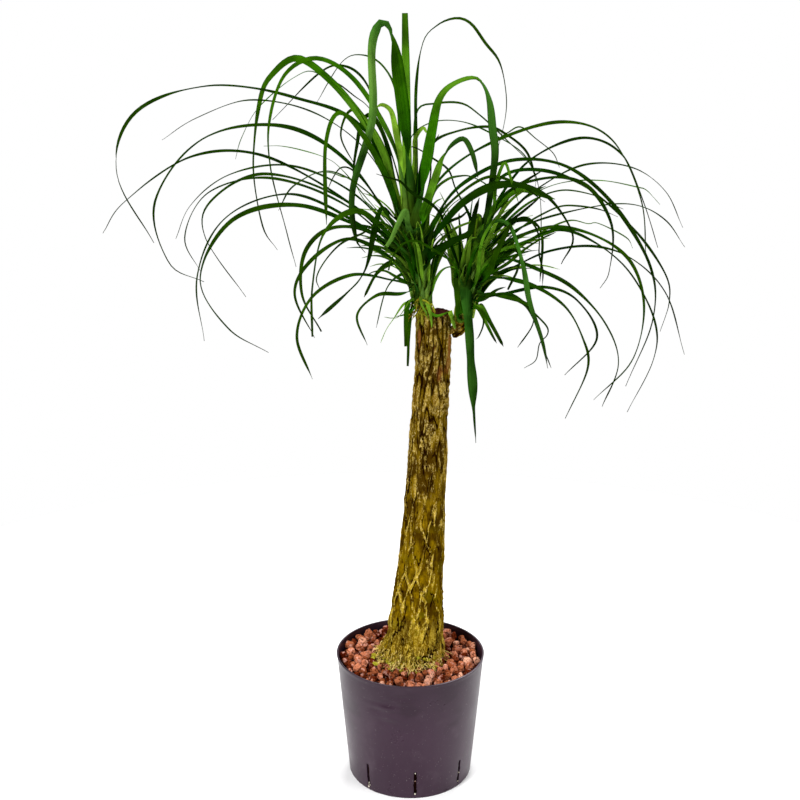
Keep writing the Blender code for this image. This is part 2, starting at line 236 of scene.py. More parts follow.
def pot_plastic():
    f = Finish("aubergine_plastic", 0.32, 0.27, PLASTIC_TINT)
    height = f.along("Z")
    dust = f.grain(22, 5, 0.6)
    colour = f.mix(f.grain(60, 2, stretch=(1, 1, 0.12)), *AUBERGINE)
    colour = f.mix(f.step(dust, 0.52, 0.80, 0.0, 0.40), colour, DUST)
    # Painted shade: the wall is darker towards its top.
    colour = f.mix(f.step(height, 0.10, 0.19, 0.0, 0.60), colour, PAINTED_TOP_SHADE)
    # Painted shade: soft dark patches on the upper wall stand in for the shade of the dents.
    dent_shade_patches = f.step(f.grain(17, 2, stretch=(1, 1, 1.7)), 0.50, 0.64)
    dent_shade_patches = f.times(dent_shade_patches, f.step(height, 0.07, 0.12, 0.0, 0.6))
    colour = f.mix(dent_shade_patches, colour, DENT_SHADE)
    colour = f.mix(f.step(f.grain(900, 1), 0.765, 0.80), colour, SPECK)
    f.feed(f.shader, {"Roughness": f.step(dust, 0.3, 0.75, 0.27, 0.40)})
    return f.paint(colour, f.grain(420, 2), 0.10, 0.2 * MM)


PLASTIC = pot_plastic()

# %% [markdown]
# Fired clay granules differ from one to the next, from salmon to dark maroon. Each stone stores
# one number, its tone, which picks its colour. Fine pores come from a bump, and their hollows
# are painted near black as shade.

# %% Clay
CLAY_TONES = (
    (0.00, (0.090, 0.010, 0.001)),
    (0.22, (0.150, 0.026, 0.007)),
    (0.48, (0.340, 0.095, 0.034)),
    (0.72, (0.660, 0.230, 0.120)),
    (0.90, (0.840, 0.450, 0.300)),
    (1.00, (0.800, 0.740, 0.600)),
)
PORE_SHADE, CLAY_BLOOM = (0.030, 0.002, 0.0002), (0.74, 0.39, 0.31)
CLAY_SHADE = (0.006, 0.002, 0.002), (0.028, 0.009, 0.006)


def clay_finish():
    f = Finish("fired_clay", 0.9, 0.0)
    pores = f.grain(310, 6, 0.75)
    colour = f.ramp(f.stored("tone"), *CLAY_TONES)
    # Painted shade: the hollows of the pores are painted near black.
    colour = f.mix(f.step(pores, 0.40, 0.53, 0.92, 0.0), colour, PORE_SHADE)
    colour = f.mix(f.step(f.grain(150, 4, 0.6), 0.54, 0.66, 0.0, 0.65), colour, CLAY_BLOOM)
    return f.paint(colour, pores, 1.0, 1.8 * MM)


# Painted shade: the clay under the stones is painted near black, as it lies in shade.
def shade_clay_paint():
    f = Finish("clay_in_shade", 0.95, 0.0)
    return f.paint(f.mix(f.grain(90, 4), *CLAY_SHADE))


CLAY = clay_finish()
CLAY_BELOW = shade_clay_paint()

# %% [markdown]
# The bark carries ragged, raised strands round long hollow leaf scars lower down, and narrow
# upright fissures higher up. The mesh stores how high each point stands ("crest") and how deep
# its cracks are ("crack"). The finish paints pale straw on the crests, olive or brown in the
# scars, and near black painted shade in the cracks and in small pits. Moss and bright flecks turn
# the foot yellow-green, and the upper part is browner, with some rust. The foot is painted paler,
# partly its own pale straw and partly painted light where the lamps reach it less, and its
# upright folds get painted shade in their creases and painted highlights on their ridges.

# %% Bark
# Each pair holds the colour low on the trunk and the one high up.
BARK_DARK = (0.060, 0.026, 0.0005), (0.055, 0.024, 0.0010)
BARK_SCAR = (0.320, 0.188, 0.001), (0.265, 0.158, 0.005)
BARK_STRAW = (0.640, 0.430, 0.022), (0.500, 0.330, 0.048)
BARK_PALE = (0.950, 0.740, 0.230), (0.820, 0.630, 0.240)
# The crack colour is near black painted shade.
MOSS, RUST, CRACK_SHADE = (0.210, 0.165, 0.001), (0.420, 0.130, 0.030), (0.018, 0.005, 0.0003)
# At the foot, scar and straw are paler: partly the foot's own pale straw, partly painted light.
LIT_FOOT_SCAR, LIT_FOOT_STRAW = (0.560, 0.330, 0.004), (0.950, 0.720, 0.090)
# The ridge colour is a painted highlight on the foot's folds.
FOOT_FLECK, FOOT_RIDGE_HIGHLIGHT = (1.0, 0.730, 0.120), (1.0, 0.740, 0.090)
# The crease colour is painted shade in the foot's folds.
FOOT_CREASE_SHADE = (0.030, 0.010, 0.0002)


def bark_finish():
    f = Finish("corky_bark", 0.95, 0.0)
    height = f.along("Z")
    rise = f.step(height, 0.22, 0.60)
    foot = f.step(height, 0.19, 0.27, 0.8, 0.0)
    fibres = f.grain(460, 5, 0.7, (1, 1, 0.22))
    specks = f.grain(620, 4, 0.75, (1, 1, 0.6))
    patches = f.grain(62, 4, 0.6, (1, 1, 0.45))
    fine = f.step(f.mix(0.5, fibres, specks), 0.38, 0.60)
    dark = f.mix(rise, *BARK_DARK)
    scar = f.mix(f.step(patches, 0.42, 0.58, 0.1, 1.0), dark, f.mix(rise, *BARK_SCAR))
    scar = f.mix(f.step(fine, 0.15, 0.75, 0.45, 0.0), scar, dark)
    mossy = f.times(f.step(f.grain(55), 0.52, 0.64), f.step(height, 0.18, 0.50, 0.6, 0.0))
    scar = f.mix(mossy, scar, MOSS)
    # Partly painted light: at the foot, the scars are painted paler.
    scar = f.mix(f.times(foot, patches), scar, LIT_FOOT_SCAR)
    straw = f.mix(f.step(specks, 0.52, 0.64), f.mix(rise, *BARK_STRAW), f.mix(rise, *BARK_PALE))
    # Partly painted light: at the foot, the straw is painted paler.
    straw = f.mix(f.times(foot, fine), straw, LIT_FOOT_STRAW)
    worn = f.mix(0.36, f.stored("crest"), fine)
    colour = f.mix(f.step(worn, 0.36, 0.66), scar, straw)
    rusty = f.times(f.step(f.grain(60, stretch=(1, 1, 0.35)), 0.54, 0.66),
                    f.step(height, 0.55, 0.70, 0.0, 0.9))
    colour = f.mix(rusty, colour, RUST)
    # Painted shade: small pits are painted dark.
    pit_shade = f.grain(150, 3, 0.6, (1, 1, 0.4))
    colour = f.mix(f.step(pit_shade, 0.33, 0.42, 0.85, 0.0), colour, dark)
    colour = f.mix(f.times(foot, f.step(specks, 0.51, 0.57)), colour, FOOT_FLECK)
    # Painted highlights on the ridges of the foot's folds, and painted shade in their creases.
    folds = f.grain(135, 4, 0.65, (1, 1, 0.28))
    colour = f.mix(f.times(f.step(folds, 0.56, 0.63, 0.0, 0.8), foot), colour, FOOT_RIDGE_HIGHLIGHT)
    colour = f.mix(f.times(f.step(folds, 0.43, 0.50, 1.0, 0.0), foot), colour, FOOT_CREASE_SHADE)
    # Painted shade: the cracks are painted near black.
    crack_shade = f.step(f.mix(0.35, f.stored("crack"), fibres), 0.26, 0.50)
    return f.paint(f.mix(crack_shade, colour, CRACK_SHADE), fine, 1.0, 1.5 * MM)


BARK = bark_finish()

# %% Cut wood and straw
WOOD = (0.010, 0.003, 0.002), (0.075, 0.022, 0.013)
WOOD_STAIN, STRAW_FLECK = (0.045, 0.009, 0.011), (0.04, 0.02, 0.004)
# Brown and ochre fibres, green moss in the middle, then yellow and pale straw.
STRAW_TONES = (
    (0.00, (0.070, 0.034, 0.002)),
    (0.35, (0.390, 0.250, 0.014)),
    (0.50, (0.300, 0.310, 0.012)),
    (0.65, (0.740, 0.500, 0.070)),
    (1.00, (1.000, 0.780, 0.240)),
)


def cut_wood():
    f = Finish("old_cut_wood", 0.95, 0.0)
    fibres = f.grain(260, 5, 0.7)
    colour = f.mix(f.step(fibres, 0.35, 0.65), *WOOD)
    colour = f.mix(f.step(f.grain(60), 0.46, 0.60, 0.0, 0.7), colour, WOOD_STAIN)
    return f.paint(colour, fibres, 1.0, 1.2 * MM)


def straw_finish():
    f = Finish("dry_straw_and_moss", 0.75, 0.08)
    colour = f.ramp(f.stored("tone"), *STRAW_TONES)
    return f.paint(f.mix(f.step(f.grain(900, 2), 0.35, 0.6, 0.45, 0.0), colour, STRAW_FLECK))


CUT = cut_wood()
STRAW = straw_finish()

# %% [markdown]
# A leaf is a thin, channelled strap with fine parallel veins. Both faces are matt here, so that
# their green stays deep under the lamps, and light shines through them as yellow-green; the veins
# are painted paler, partly as a sheen. Each leaf stores one number, its tone, that runs from old
# dark green to young yellow-green. The veins follow the leaf's own map, so that they run along it
# however it bends.

# %% Leaves
# Old, middle and young colours of each face.
UPPER = (0.0008, 0.0140, 0.0001), (0.020, 0.128, 0.0007), (0.160, 0.350, 0.020)
LOWER = (0.0016, 0.0170, 0.0003), (0.030, 0.130, 0.0100), (0.165, 0.340, 0.045)
ROOT_COLOURS = (0.040, 0.110, 0.002), (0.240, 0.360, 0.020)
OLD_TIP = (0.006, 0.016, 0.0008)
# These three multiply the colour under them: veins, painted paler partly as a sheen, the older
# half of a leaf, light through it.
VEIN_AND_SHEEN_GAIN, OLDER_GAIN, GLOW_GAIN = (2.6, 1.9, 3.0), (1.45, 0.79, 0.9), (2.2, 2.1, 0.8)
GLOW_SHARE = 0.18


def leaf_finish(name, faces, roughness, ageing):
    f = Finish(name, roughness, 0.0)
    way, tone = f.places("UV"), f.stored("tone")
    share = f.along("Y", way)
    veins = f.grain(1.0, 2, stretch=(22, 1.1, 1), way=way)
    fine = f.grain(1.0, 1, stretch=(80, 3.0, 1), way=way)
    colour = f.ramp(tone, *zip((0.0, 0.5, 1.0), faces))
    # Partly painted sheen: the veins are painted paler.
    paler = f.mix(1.0, colour, VEIN_AND_SHEEN_GAIN, "MULTIPLY")
    colour = f.mix(f.step(veins, 0.35, 0.62, 0.0, 0.45), colour, paler)
    colour = f.mix(f.step(f.grain(30), 0.36, 0.60, 0.5, 0.0), colour, faces[0])
    colour = f.mix(f.step(share, 0.0, 0.12, 0.6, 0.0), colour, f.mix(tone, *ROOT_COLOURS))
    older = f.mix(1.0, colour, OLDER_GAIN, "MULTIPLY")
    aged = f.times(f.step(share, 0.12, 0.50, 0.0, ageing), f.step(tone, 0.25, 0.70, 1.0, 0.0))
    colour = f.mix(aged, colour, older)
    darker = f.times(f.step(share, 0.60, 1.0, 0.0, 0.7), f.step(tone, 0.35, 0.85, 1.0, 0.0))
    colour = f.mix(darker, colour, OLD_TIP)
    f.paint(colour, f.mix(0.5, veins, fine), 0.4, 0.35 * MM)
    lit = f.mix(0.75, colour, f.mix(1.0, colour, GLOW_GAIN, "MULTIPLY"))
    glow = f.add("BsdfTranslucent", "BSDF", {"Color": lit})
    blend = f.add("MixShader", "Shader", {0: GLOW_SHARE, 1: f.shader.outputs["BSDF"], 2: glow})
    f.feed(f.tree.nodes["Material Output"], {"Surface": blend})
    return f.material


LEAF_TOP = leaf_finish("leaf_upper_face", UPPER, 0.40, 1.0)
LEAF_BACK = leaf_finish("leaf_lower_face", LOWER, 0.55, 0.2)
YOUNG_TOP = leaf_finish("young_upper_face", UPPER, 0.40, 0.1)

# %% Sheaths
SHEATH_TINT = (0.8, 1.0, 0.4)
SHEATH_GREEN = (0.004, 0.040, 0.0004), (0.120, 0.230, 0.004)
SHEATH_PALE = (0.100, 0.150, 0.004), (0.480, 0.440, 0.060)
SHEATH_SEAT, SHEATH_DARK = (0.110, 0.055, 0.006), (0.030, 0.030, 0.003)


def sheath_finish():
    f = Finish("leaf_sheath", 0.6, 0.08, SHEATH_TINT)
    height = f.along("Z")
    fibres = f.grain(420, 4, 0.6, (1, 1, 0.10))
    bands = f.step(f.grain(130, 2, stretch=(1, 1, 0.15)), 0.42, 0.58)
    green, pale = f.mix(bands, *SHEATH_GREEN), f.mix(bands, *SHEATH_PALE)
    colour = f.mix(f.step(height, 0.705, 0.740, 0.8, 0.0), green, pale)
    colour = f.mix(f.step(height, 0.686, 0.700, 1.0, 0.0), colour, SHEATH_SEAT)
    colour = f.mix(f.step(fibres, 0.34, 0.50, 0.65, 0.0), colour, SHEATH_DARK)
    return f.paint(colour, fibres, 0.8, 0.8 * MM)


SHEATH = sheath_finish()
print("finishes:", [m.name for m in bpy.data.materials if m.use_nodes and m.users])

# %% [markdown]
# ## Working by hand from code
# Each new piece starts as a primitive, is shaped in edit mode, and ends with applied modifiers.
# These helpers start a piece, pick parts of its mesh by their place, apply a modifier, and hand
# the finished piece to the frame.

# %% Modelling helpers
FULL_TURN = 2 * math.pi
PICK_MODES = {"verts": "VERT", "edges": "EDGE", "faces": "FACE"}


def select_only(*pieces):
    bpy.ops.object.select_all(action="DESELECT")
    for piece in pieces:
        piece.select_set(True)
    bpy.context.view_layer.objects.active = pieces[0]


def named(name):
    """Names the piece that was just added or joined."""
    piece = bpy.context.active_object
    piece.name = piece.data.name = name
    return piece


def edit(piece):
    """Opens edit mode with the whole mesh selected."""
    select_only(piece)
    bpy.ops.object.mode_set(mode="EDIT")
    bpy.ops.mesh.select_all(action="SELECT")


def leave_edit():
    bpy.ops.object.mode_set(mode="OBJECT")


def pick(piece, kind, wanted):
    """Selects the vertices, edges or faces of the mesh in edit mode that pass a test."""
    bpy.ops.mesh.select_mode(type=PICK_MODES[kind])
    bpy.ops.mesh.select_all(action="DESELECT")
    form = bmesh.from_edit_mesh(piece.data)
    for item in getattr(form, kind):
        if wanted(item):
            item.select_set(True)
    form.select_flush_mode()
    bmesh.update_edit_mesh(piece.data)


def rise_of(edge):
    return abs(edge.verts[0].co.z - edge.verts[1].co.z)


def apply(piece, kind, **settings):
    added = piece.modifiers.new(kind.title(), kind)
    for name, value in settings.items():
        setattr(added, name, value)
    with bpy.context.temp_override(object=piece, active_object=piece, selected_objects=[piece]):
        bpy.ops.object.modifier_apply(modifier=added.name)


def settle(piece):
    """Puts the object at the origin, with its place in its mesh."""
    select_only(piece)
    bpy.ops.object.transform_apply(location=True, rotation=True, scale=True)


def begin(name):
    """Names the primitive that was just added, settles it and opens it for editing."""
    piece = named(name)
    settle(piece)
    edit(piece)
    return piece


def smooth(piece, angle):
    select_only(piece)
    bpy.ops.object.shade_smooth_by_angle(angle=math.radians(angle))


def joined(name, pieces):
    select_only(*pieces)
    bpy.ops.object.join()
    return named(name)


def coat(piece, *finishes):
    piece.data.materials.clear()
    for finish in finishes:
        piece.data.materials.append(finish)


def hand_over(piece, slot, *nodes):
    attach(piece, "root")
    if nodes:
        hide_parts(*nodes)


def store(piece, name, values):
    """Stores one number on each vertex for the finishes to read."""
    kept = piece.data.attributes.new(name, "FLOAT", "POINT")
    kept.data.foreach_set("value", values)


def eased(value, low, high):
    """Goes softly from 0 to 1 while a value rises from low to high."""
    share = max(0.0, min(1.0, (value - low) / (high - low)))
    return share * share * (3 - 2 * share)


def between(table, height):
    """Reading of a table whose rows start with a rising height."""
    for low, high in zip(table, table[1:]):
        if height <= high[0]:
            share = max(0.0, (height - low[0]) / (high[0] - low[0]))
            return [a + (b - a) * share for a, b in zip(low, high)]
    return list(table[-1])


def way_of(turn, lift=0.0):
    """The direction that lies on a bearing and climbs at an angle."""
    return Vector((math.cos(turn) * math.cos(lift), math.sin(turn) * math.cos(lift),
                   math.sin(lift)))


def outward_at(turn, radius=1.0, height=0.0):
    """A place round the pot's axis; its bearing is counted from the front."""
    return Vector((radius * math.sin(turn), -radius * math.cos(turn), height))


def heap_of(name, copies, finish):
    """One object from many copies of a few blanks, given as (blank, matrix, tone)."""
    form = bmesh.new()
    tone_layer = form.verts.layers.float.new("tone")
    for blank, matrix, tone in copies:
        before = len(form.verts)
        form.from_mesh(blank.data)
        form.verts.ensure_lookup_table()
        for point in form.verts[before:]:
            point.co = matrix @ point.co
            point[tone_layer] = tone
    mesh = bpy.data.meshes.new(name)
    form.to_mesh(mesh)
    form.free()
    heap = bpy.data.objects.new(name, mesh)
    bpy.context.scene.collection.objects.link(heap)
    coat(heap, finish)
    return heap


def discard(*pieces):
    for piece in pieces:
        bpy.data.objects.remove(piece)

# %% [markdown]
# ## Pot
# The real pot is injection moulded: a straight taper, a wall of two or three millimetres, a flat
# floor and eight narrow slits low in the wall. A cone gives the outside. Its side is divided into
# rings so that the shallow dents of a used pot can be pressed in, then it gets its wall, and thin
# blocks cut the slits.

# %% Pot body
POT_TOP_RADIUS, _, POT_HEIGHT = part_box("pot")[1]
POT_BASE_RADIUS = 0.0931
POT_WALL = 2.4 * MM
POT_SIDES = 192
POT_RINGS = 76
FOOT_STEP = 1.1 * MM
FACES_UP = 0.9


def pot_radius(height):
    return POT_BASE_RADIUS + (POT_TOP_RADIUS - POT_BASE_RADIUS) * height / POT_HEIGHT


def pot_body():
    bpy.ops.mesh.primitive_cone_add(
        vertices=POT_SIDES, radius1=POT_BASE_RADIUS, radius2=POT_TOP_RADIUS,
        depth=POT_HEIGHT, end_fill_type="NGON", location=(0, 0, POT_HEIGHT / 2))
    pot = begin("pot_shell")
    pick(pot, "faces", lambda f: f.normal.z > FACES_UP)
    bpy.ops.mesh.delete(type="ONLY_FACE")
    pick(pot, "edges", lambda e: rise_of(e) > 0.5 * POT_HEIGHT)
    bpy.ops.mesh.subdivide(number_cuts=POT_RINGS)
    pick(pot, "edges", lambda e: max(v.co.z for v in e.verts) < 0.1 * MM)
    bpy.ops.mesh.bevel(offset=FOOT_STEP, segments=2)
    leave_edit()
    return pot


pot = pot_body()
print("pot shell:", len(pot.data.polygons), "faces")

# %% Dents
# Height and bearing of each dent on the wall, its half width and half height, and its depth in
# millimetres, with bulges below zero.
DENTS = (
    (0.1700, -97, 0.018, 0.0035, 1.3),
    (0.1630, -108, 0.012, 0.0035, 1.1),
    (0.1570, -112, 0.020, 0.0040, 1.6),
    (0.1505, -106, 0.020, 0.0040, -1.4),
    (0.1440, -117, 0.013, 0.0060, 1.3),
    (0.1360, -104, 0.014, 0.0070, -1.3),
    (0.1270, -111, 0.016, 0.0060, 1.0),
    (0.1150, -95, 0.020, 0.0120, 1.2),
    (0.0850, -88, 0.026, 0.0180, -0.8),
    (0.1150, -76, 0.005, 0.0300, 0.5),
    (0.0600, -112, 0.020, 0.0120, 0.6),
    (0.1500, 40, 0.020, 0.0100, 1.0),
    (0.0700, 150, 0.025, 0.0150, 0.9),
)
RIM_BAND = 0.0035
RIM_STEP = 0.5 * MM
# The skin is drawn in a little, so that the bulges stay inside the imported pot.
SKIN_INWARD = 0.9 * MM
WARP, WARP_TURN = 0.5 * MM, 1.1


def press_dents(piece):
    """Presses the dents in, warps the mouth a little, and leaves a thin band at the rim."""
    for point in piece.data.vertices:
        place = point.co
        bearing = math.atan2(place.y, place.x)
        inward = SKIN_INWARD
        for height, degrees, wide, tall, depth in DENTS:
            turn = (bearing - math.radians(degrees) + math.pi) % FULL_TURN - math.pi
            across = turn * pot_radius(height) / wide
            up = (place.z - height) / tall
            inward += depth * MM * math.exp(-across * across - up * up)
        warp = WARP * math.sin(2 * bearing + WARP_TURN) * (place.z / POT_HEIGHT) ** 2
        if place.z > POT_HEIGHT - RIM_BAND:
            inward -= RIM_STEP
        radius = math.hypot(place.x, place.y)
        if radius > 0.5 * POT_BASE_RADIUS:
            scale = (radius - inward + min(warp, 0.0)) / radius
            place.x *= scale
            place.y *= scale


press_dents(pot)

# %% Wall and slits
SLIT_COUNT = 8
SLIT_FIRST = math.radians(4)
SLIT_WIDTH = 4.2 * MM
SLIT_LOW, SLIT_HIGH = 0.006, 0.045
# Ragged spots in the edges of the slits: which slit, how far to its right in millimetres, and
# the lowest and highest point in millimetres.
RAGGED = (
    (0, 1.2, 9, 15), (0, -1.0, 19, 26), (0, 1.0, 31, 37),
    (1, -1.2, 10, 17), (1, 1.2, 27, 33), (1, -0.9, 38, 42),
    (7, 1.1, 7, 15), (7, -1.1, 20, 24), (7, 0.9, 30, 41),
)
RAGGED_WIDTH = 0.8 * SLIT_WIDTH
# One little block beside the right slit makes the nick at the foot of the wall.
NICK_TURN, NICK_LOW, NICK_TALL, NICK_WIDTH = math.radians(34), 0.0030, 1.6 * MM, 6.0 * MM
EDGE_ROUND, EDGE_ANGLE = 0.4 * MM, math.radians(50)


def slit_turn(number):
    return SLIT_FIRST + FULL_TURN * number / SLIT_COUNT


def cut_wall(piece, turn, low, high, width):
    middle = (low + high) / 2
    outward = outward_at(turn)
    bpy.ops.mesh.primitive_cube_add(
        size=1, location=outward_at(turn, pot_radius(middle), middle))
    cutter = named("slit_cutter")
    cutter.scale = (width, 8 * POT_WALL, high - low)
    cutter.rotation_euler = (0, 0, turn)
    settle(cutter)
    edit(cutter)
    pick(cutter, "edges",
         lambda e: abs((e.verts[0].co - e.verts[1].co).normalized().dot(outward)) > 0.9)
    bpy.ops.mesh.bevel(offset=0.3 * min(width, high - low), segments=3)
    leave_edit()
    apply(piece, "BOOLEAN", object=cutter, operation="DIFFERENCE", solver="EXACT")
    discard(cutter)


apply(pot, "SOLIDIFY", thickness=POT_WALL, offset=-1, use_even_offset=True)
for i in range(SLIT_COUNT):
    cut_wall(pot, slit_turn(i), SLIT_LOW, SLIT_HIGH, SLIT_WIDTH)
for slit, aside, low, high in RAGGED:
    turn = slit_turn(slit) + aside * MM / POT_BASE_RADIUS
    cut_wall(pot, turn, low * MM, high * MM, RAGGED_WIDTH)
cut_wall(pot, NICK_TURN, NICK_LOW, NICK_LOW + NICK_TALL, NICK_WIDTH)
apply(pot, "BEVEL", width=EDGE_ROUND, segments=2, limit_method="ANGLE", angle_limit=EDGE_ANGLE)
smooth(pot, 35)
coat(pot, PLASTIC)
hand_over(pot, "plastic", "pot")
print("pot:", len(pot.data.polygons), "faces")

# %% [markdown]
# ## Granules
# Hydroculture granules are broken fired clay, 8 to 16 mm across, no two alike. A handful of
# blanks is enough: each is a low ball, roughened and chipped flat in places, then copied at
# chance sizes and turns. They lie in two layers on a bed painted near black as shade, so no gap
# shows through.

# %% Stone blanks
BLANK_COUNT = 8
LUMPS, ROUGHNESS = 0.20, 0.055
CHIPS = 6
CHIP_DEPTH, CHIP_SPREAD, CHIP_SHARE = 0.70, (-0.08, 0.16), 0.8


def stone_blank(number):
    chance = random.Random(100 + number)
    bpy.ops.mesh.primitive_ico_sphere_add(subdivisions=2, radius=1)
    stone = begin(f"stone_blank_{number}")
    bpy.ops.transform.vertex_random(offset=LUMPS, uniform=0.3, normal=0.3, seed=number)
    bpy.ops.mesh.subdivide(number_cuts=1, smoothness=0.7)
    bpy.ops.transform.vertex_random(offset=ROUGHNESS, uniform=0.5, normal=0.4, seed=number + 40)
    leave_edit()
    for _ in range(CHIPS):
        facing = Vector([chance.uniform(-1, 1) for _ in range(3)]).normalized()
        depth = CHIP_DEPTH + chance.uniform(*CHIP_SPREAD)
        for point in stone.data.vertices:
            over = point.co.dot(facing) - depth
            if over > 0:
                point.co -= facing * over * CHIP_SHARE
    return stone


blanks = [stone_blank(number) for number in range(BLANK_COUNT)]
print("stone blanks:", [len(b.data.polygons) for b in blanks], "faces")

# %% Where the stones lie
BED_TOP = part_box("granule_bed")[1].z
TRUNK_MIDDLE = Vector((0.004, 0.0))
TRUNK_CLEAR = 0.040
# Middle size of the stones in a layer, and how high their middles stand over the bed's top.
LAYERS = ((0.0070, 0.0014), (0.0066, -0.0082))
TRIES = 14000
STONE_SIZES = (0.60, 1.30, 0.88)
WALL_CLEAR, STONE_CLEAR, UNEVEN = 1.12, 0.90, 1.8 * MM


def stone_places():
    """Seeded darts, kept a stone's width apart in each layer."""
    chance = random.Random(7)
    found = []
    for middle_size, lift in LAYERS:
        layer = []
        edge = pot_radius(BED_TOP + lift) - POT_WALL
        for _ in range(TRIES):
            size = chance.triangular(*STONE_SIZES) * middle_size
            radius = (edge - WALL_CLEAR * size) * math.sqrt(chance.random())
            turn = chance.uniform(0, FULL_TURN)
            spot = Vector((radius * math.cos(turn), radius * math.sin(turn)))
            if (spot - TRUNK_MIDDLE).length < TRUNK_CLEAR:
                continue
            if all((spot - other).length > STONE_CLEAR * (size + near) for other, near, _ in layer):
                layer.append((spot, size, BED_TOP + lift + chance.uniform(-UNEVEN, UNEVEN)))
        found += layer
    return found


stones = stone_places()
print("stones:", len(stones))

# %% Heap of stones
# Tones fall round a middle one. Stones that lie nearer the lamps on the right are paler, as
# painted light, and deeper ones are darker, as painted shade.
TONE_MIDDLE, TONE_SPREAD, TONE_MOST = 0.44, 0.24, 0.86
PAINTED_LIGHT_NEAR, PAINTED_SHADE_DEEP = 0.15, 0.40
# Which slit a pale crumb shows in, at what height, and its half width and half height.
CRUMBS = (
    (7, 0.0065, 2.0, 2.8), (7, 0.0120, 1.1, 1.6), (0, 0.0075, 1.3, 1.5), (0, 0.0435, 1.0, 1.0),
    (1, 0.0235, 1.5, 1.1), (1, 0.0085, 1.0, 1.0), (0, 0.0300, 0.6, 1.2),
)
CRUMB_THICK = 0.8 * MM


def stone_copies():
    chance = random.Random(21)
    for spot, size, height in stones:
        turn = Euler([chance.uniform(0, FULL_TURN) for _ in range(3)]).to_matrix().to_4x4()
        long, flat = chance.uniform(0.95, 1.2), chance.uniform(0.7, 0.95)
        shape = Matrix.Diagonal((size * long, size, size * flat, 1))
        # Painted light on stones near the lamps, and painted shade on the lower layer.
        painted_light = PAINTED_LIGHT_NEAR * eased(spot.x - spot.y, 0.0, 0.08)
        painted_shade = PAINTED_SHADE_DEEP * eased(BED_TOP - height, 0.0, 0.008)
        tone = chance.gauss(TONE_MIDDLE, TONE_SPREAD) + painted_light - painted_shade
        matrix = Matrix.Translation((spot.x, spot.y, height)) @ turn @ shape
        yield chance.choice(blanks), matrix, min(TONE_MOST, max(0.0, tone))
    for slit, height, wide, tall in CRUMBS:
        place = outward_at(slit_turn(slit), pot_radius(height) - 0.55 * POT_WALL, height)
        shape = Matrix.Diagonal((wide * MM, CRUMB_THICK, tall * MM, 1))
        yield blanks[slit], Matrix.Translation(place) @ shape, 1.0


heap = heap_of("granules", stone_copies(), CLAY)

# %% Bed below
BELOW_TOP, BELOW_LOW = BED_TOP - 0.011, 0.0035
BELOW_GAP = POT_WALL + 1.5 * MM
BELOW_ROUGH, BELOW_ROUGH_TO = 0.004, 0.098


def bed_below():
    """The mass of granules under the ones that show, painted near black as shade."""
    bpy.ops.mesh.primitive_cone_add(
        vertices=96, radius1=POT_BASE_RADIUS - BELOW_GAP,
        radius2=pot_radius(BELOW_TOP) - BELOW_GAP, depth=BELOW_TOP - BELOW_LOW,
        end_fill_type="TRIFAN", location=(0, 0, (BELOW_TOP + BELOW_LOW) / 2))
    bed = begin("granules_below")
    pick(bed, "faces", lambda f: f.normal.z > FACES_UP)
    bpy.ops.mesh.subdivide(number_cuts=5)
    pick(bed, "verts", lambda v: v.co.z > BELOW_TOP - 0.1 * MM and v.co.xy.length < BELOW_ROUGH_TO)
    bpy.ops.transform.vertex_random(offset=BELOW_ROUGH, uniform=1.0, seed=3)
    leave_edit()
    coat(bed, CLAY_BELOW)
    return bed


bed = bed_below()
discard(*blanks)
smooth(heap, 34)
smooth(bed, 60)
hand_over(heap, "clay", "granule_bed")
hand_over(bed, "clay", "granule_bed")
print("granules:", len(heap.data.polygons), "faces; bed:", len(bed.data.polygons))

# %% [markdown]
# ## Trunk
# The trunk leans a little to the right and swells into a foot. It is drawn as a ring that is
# extruded upwards station by station, then subdivided and carved: a net of raised strands round
# the leaf scars lower down, upright fissures higher up, and a rough grain all over. What the
# carving does is stored for the bark's finish.

# %% Trunk rings
TRUNK_BOX_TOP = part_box("trunk")[1].z
TRUNK_SIDES = 42
STATION_RISE = 0.0185
# Height, how far the middle leans to +X, and radius, from the foot up to the cut.
TRUNK_STATIONS = (
    (0.140, 0.003, 0.036),
    (0.172, 0.003, 0.044),
    (0.186, 0.004, 0.047),
    (0.205, 0.006, 0.044),
    (0.235, 0.008, 0.0415),
    (0.265, 0.0105, 0.0388),
    (0.300, 0.0125, 0.0366),
    (0.340, 0.015, 0.0342),
    (0.415, 0.020, 0.0306),
    (0.490, 0.0235, 0.0282),
    (0.560, 0.026, 0.0261),
    (0.630, 0.030, 0.0251),
    (0.690, 0.0305, 0.0252),
    (0.706, 0.031, 0.0250),
)
TRUNK_FOOT, TRUNK_CUT = TRUNK_STATIONS[0][0], TRUNK_STATIONS[-1][0]


def trunk_body():
    count = round((TRUNK_CUT - TRUNK_FOOT) / STATION_RISE)
    rise = (TRUNK_CUT - TRUNK_FOOT) / count
    heights = [TRUNK_FOOT + (TRUNK_CUT - TRUNK_FOOT) * i / count for i in range(count + 1)]
    _, lean, radius = between(TRUNK_STATIONS, TRUNK_FOOT)
    bpy.ops.mesh.primitive_circle_add(
        vertices=TRUNK_SIDES, radius=radius, fill_type="NGON", location=(lean, 0, TRUNK_FOOT))
    trunk = begin("trunk_bark")
    for height in heights[1:]:
        _, next_lean, next_radius = between(TRUNK_STATIONS, height)
        bpy.ops.mesh.extrude_region_move(
            TRANSFORM_OT_translate={"value": (next_lean - lean, 0, rise)})
        grow = next_radius / radius
        bpy.ops.transform.resize(value=(grow, grow, 1), center_override=(next_lean, 0, height))
        lean, radius = next_lean, next_radius
    for _ in range(4):
        bpy.ops.mesh.inset(thickness=radius * 0.2)
    leave_edit()
    return trunk


trunk = trunk_body()
apply(trunk, "SUBSURF", levels=3, render_levels=3)
print("trunk rings:", len(trunk.data.vertices), "points")

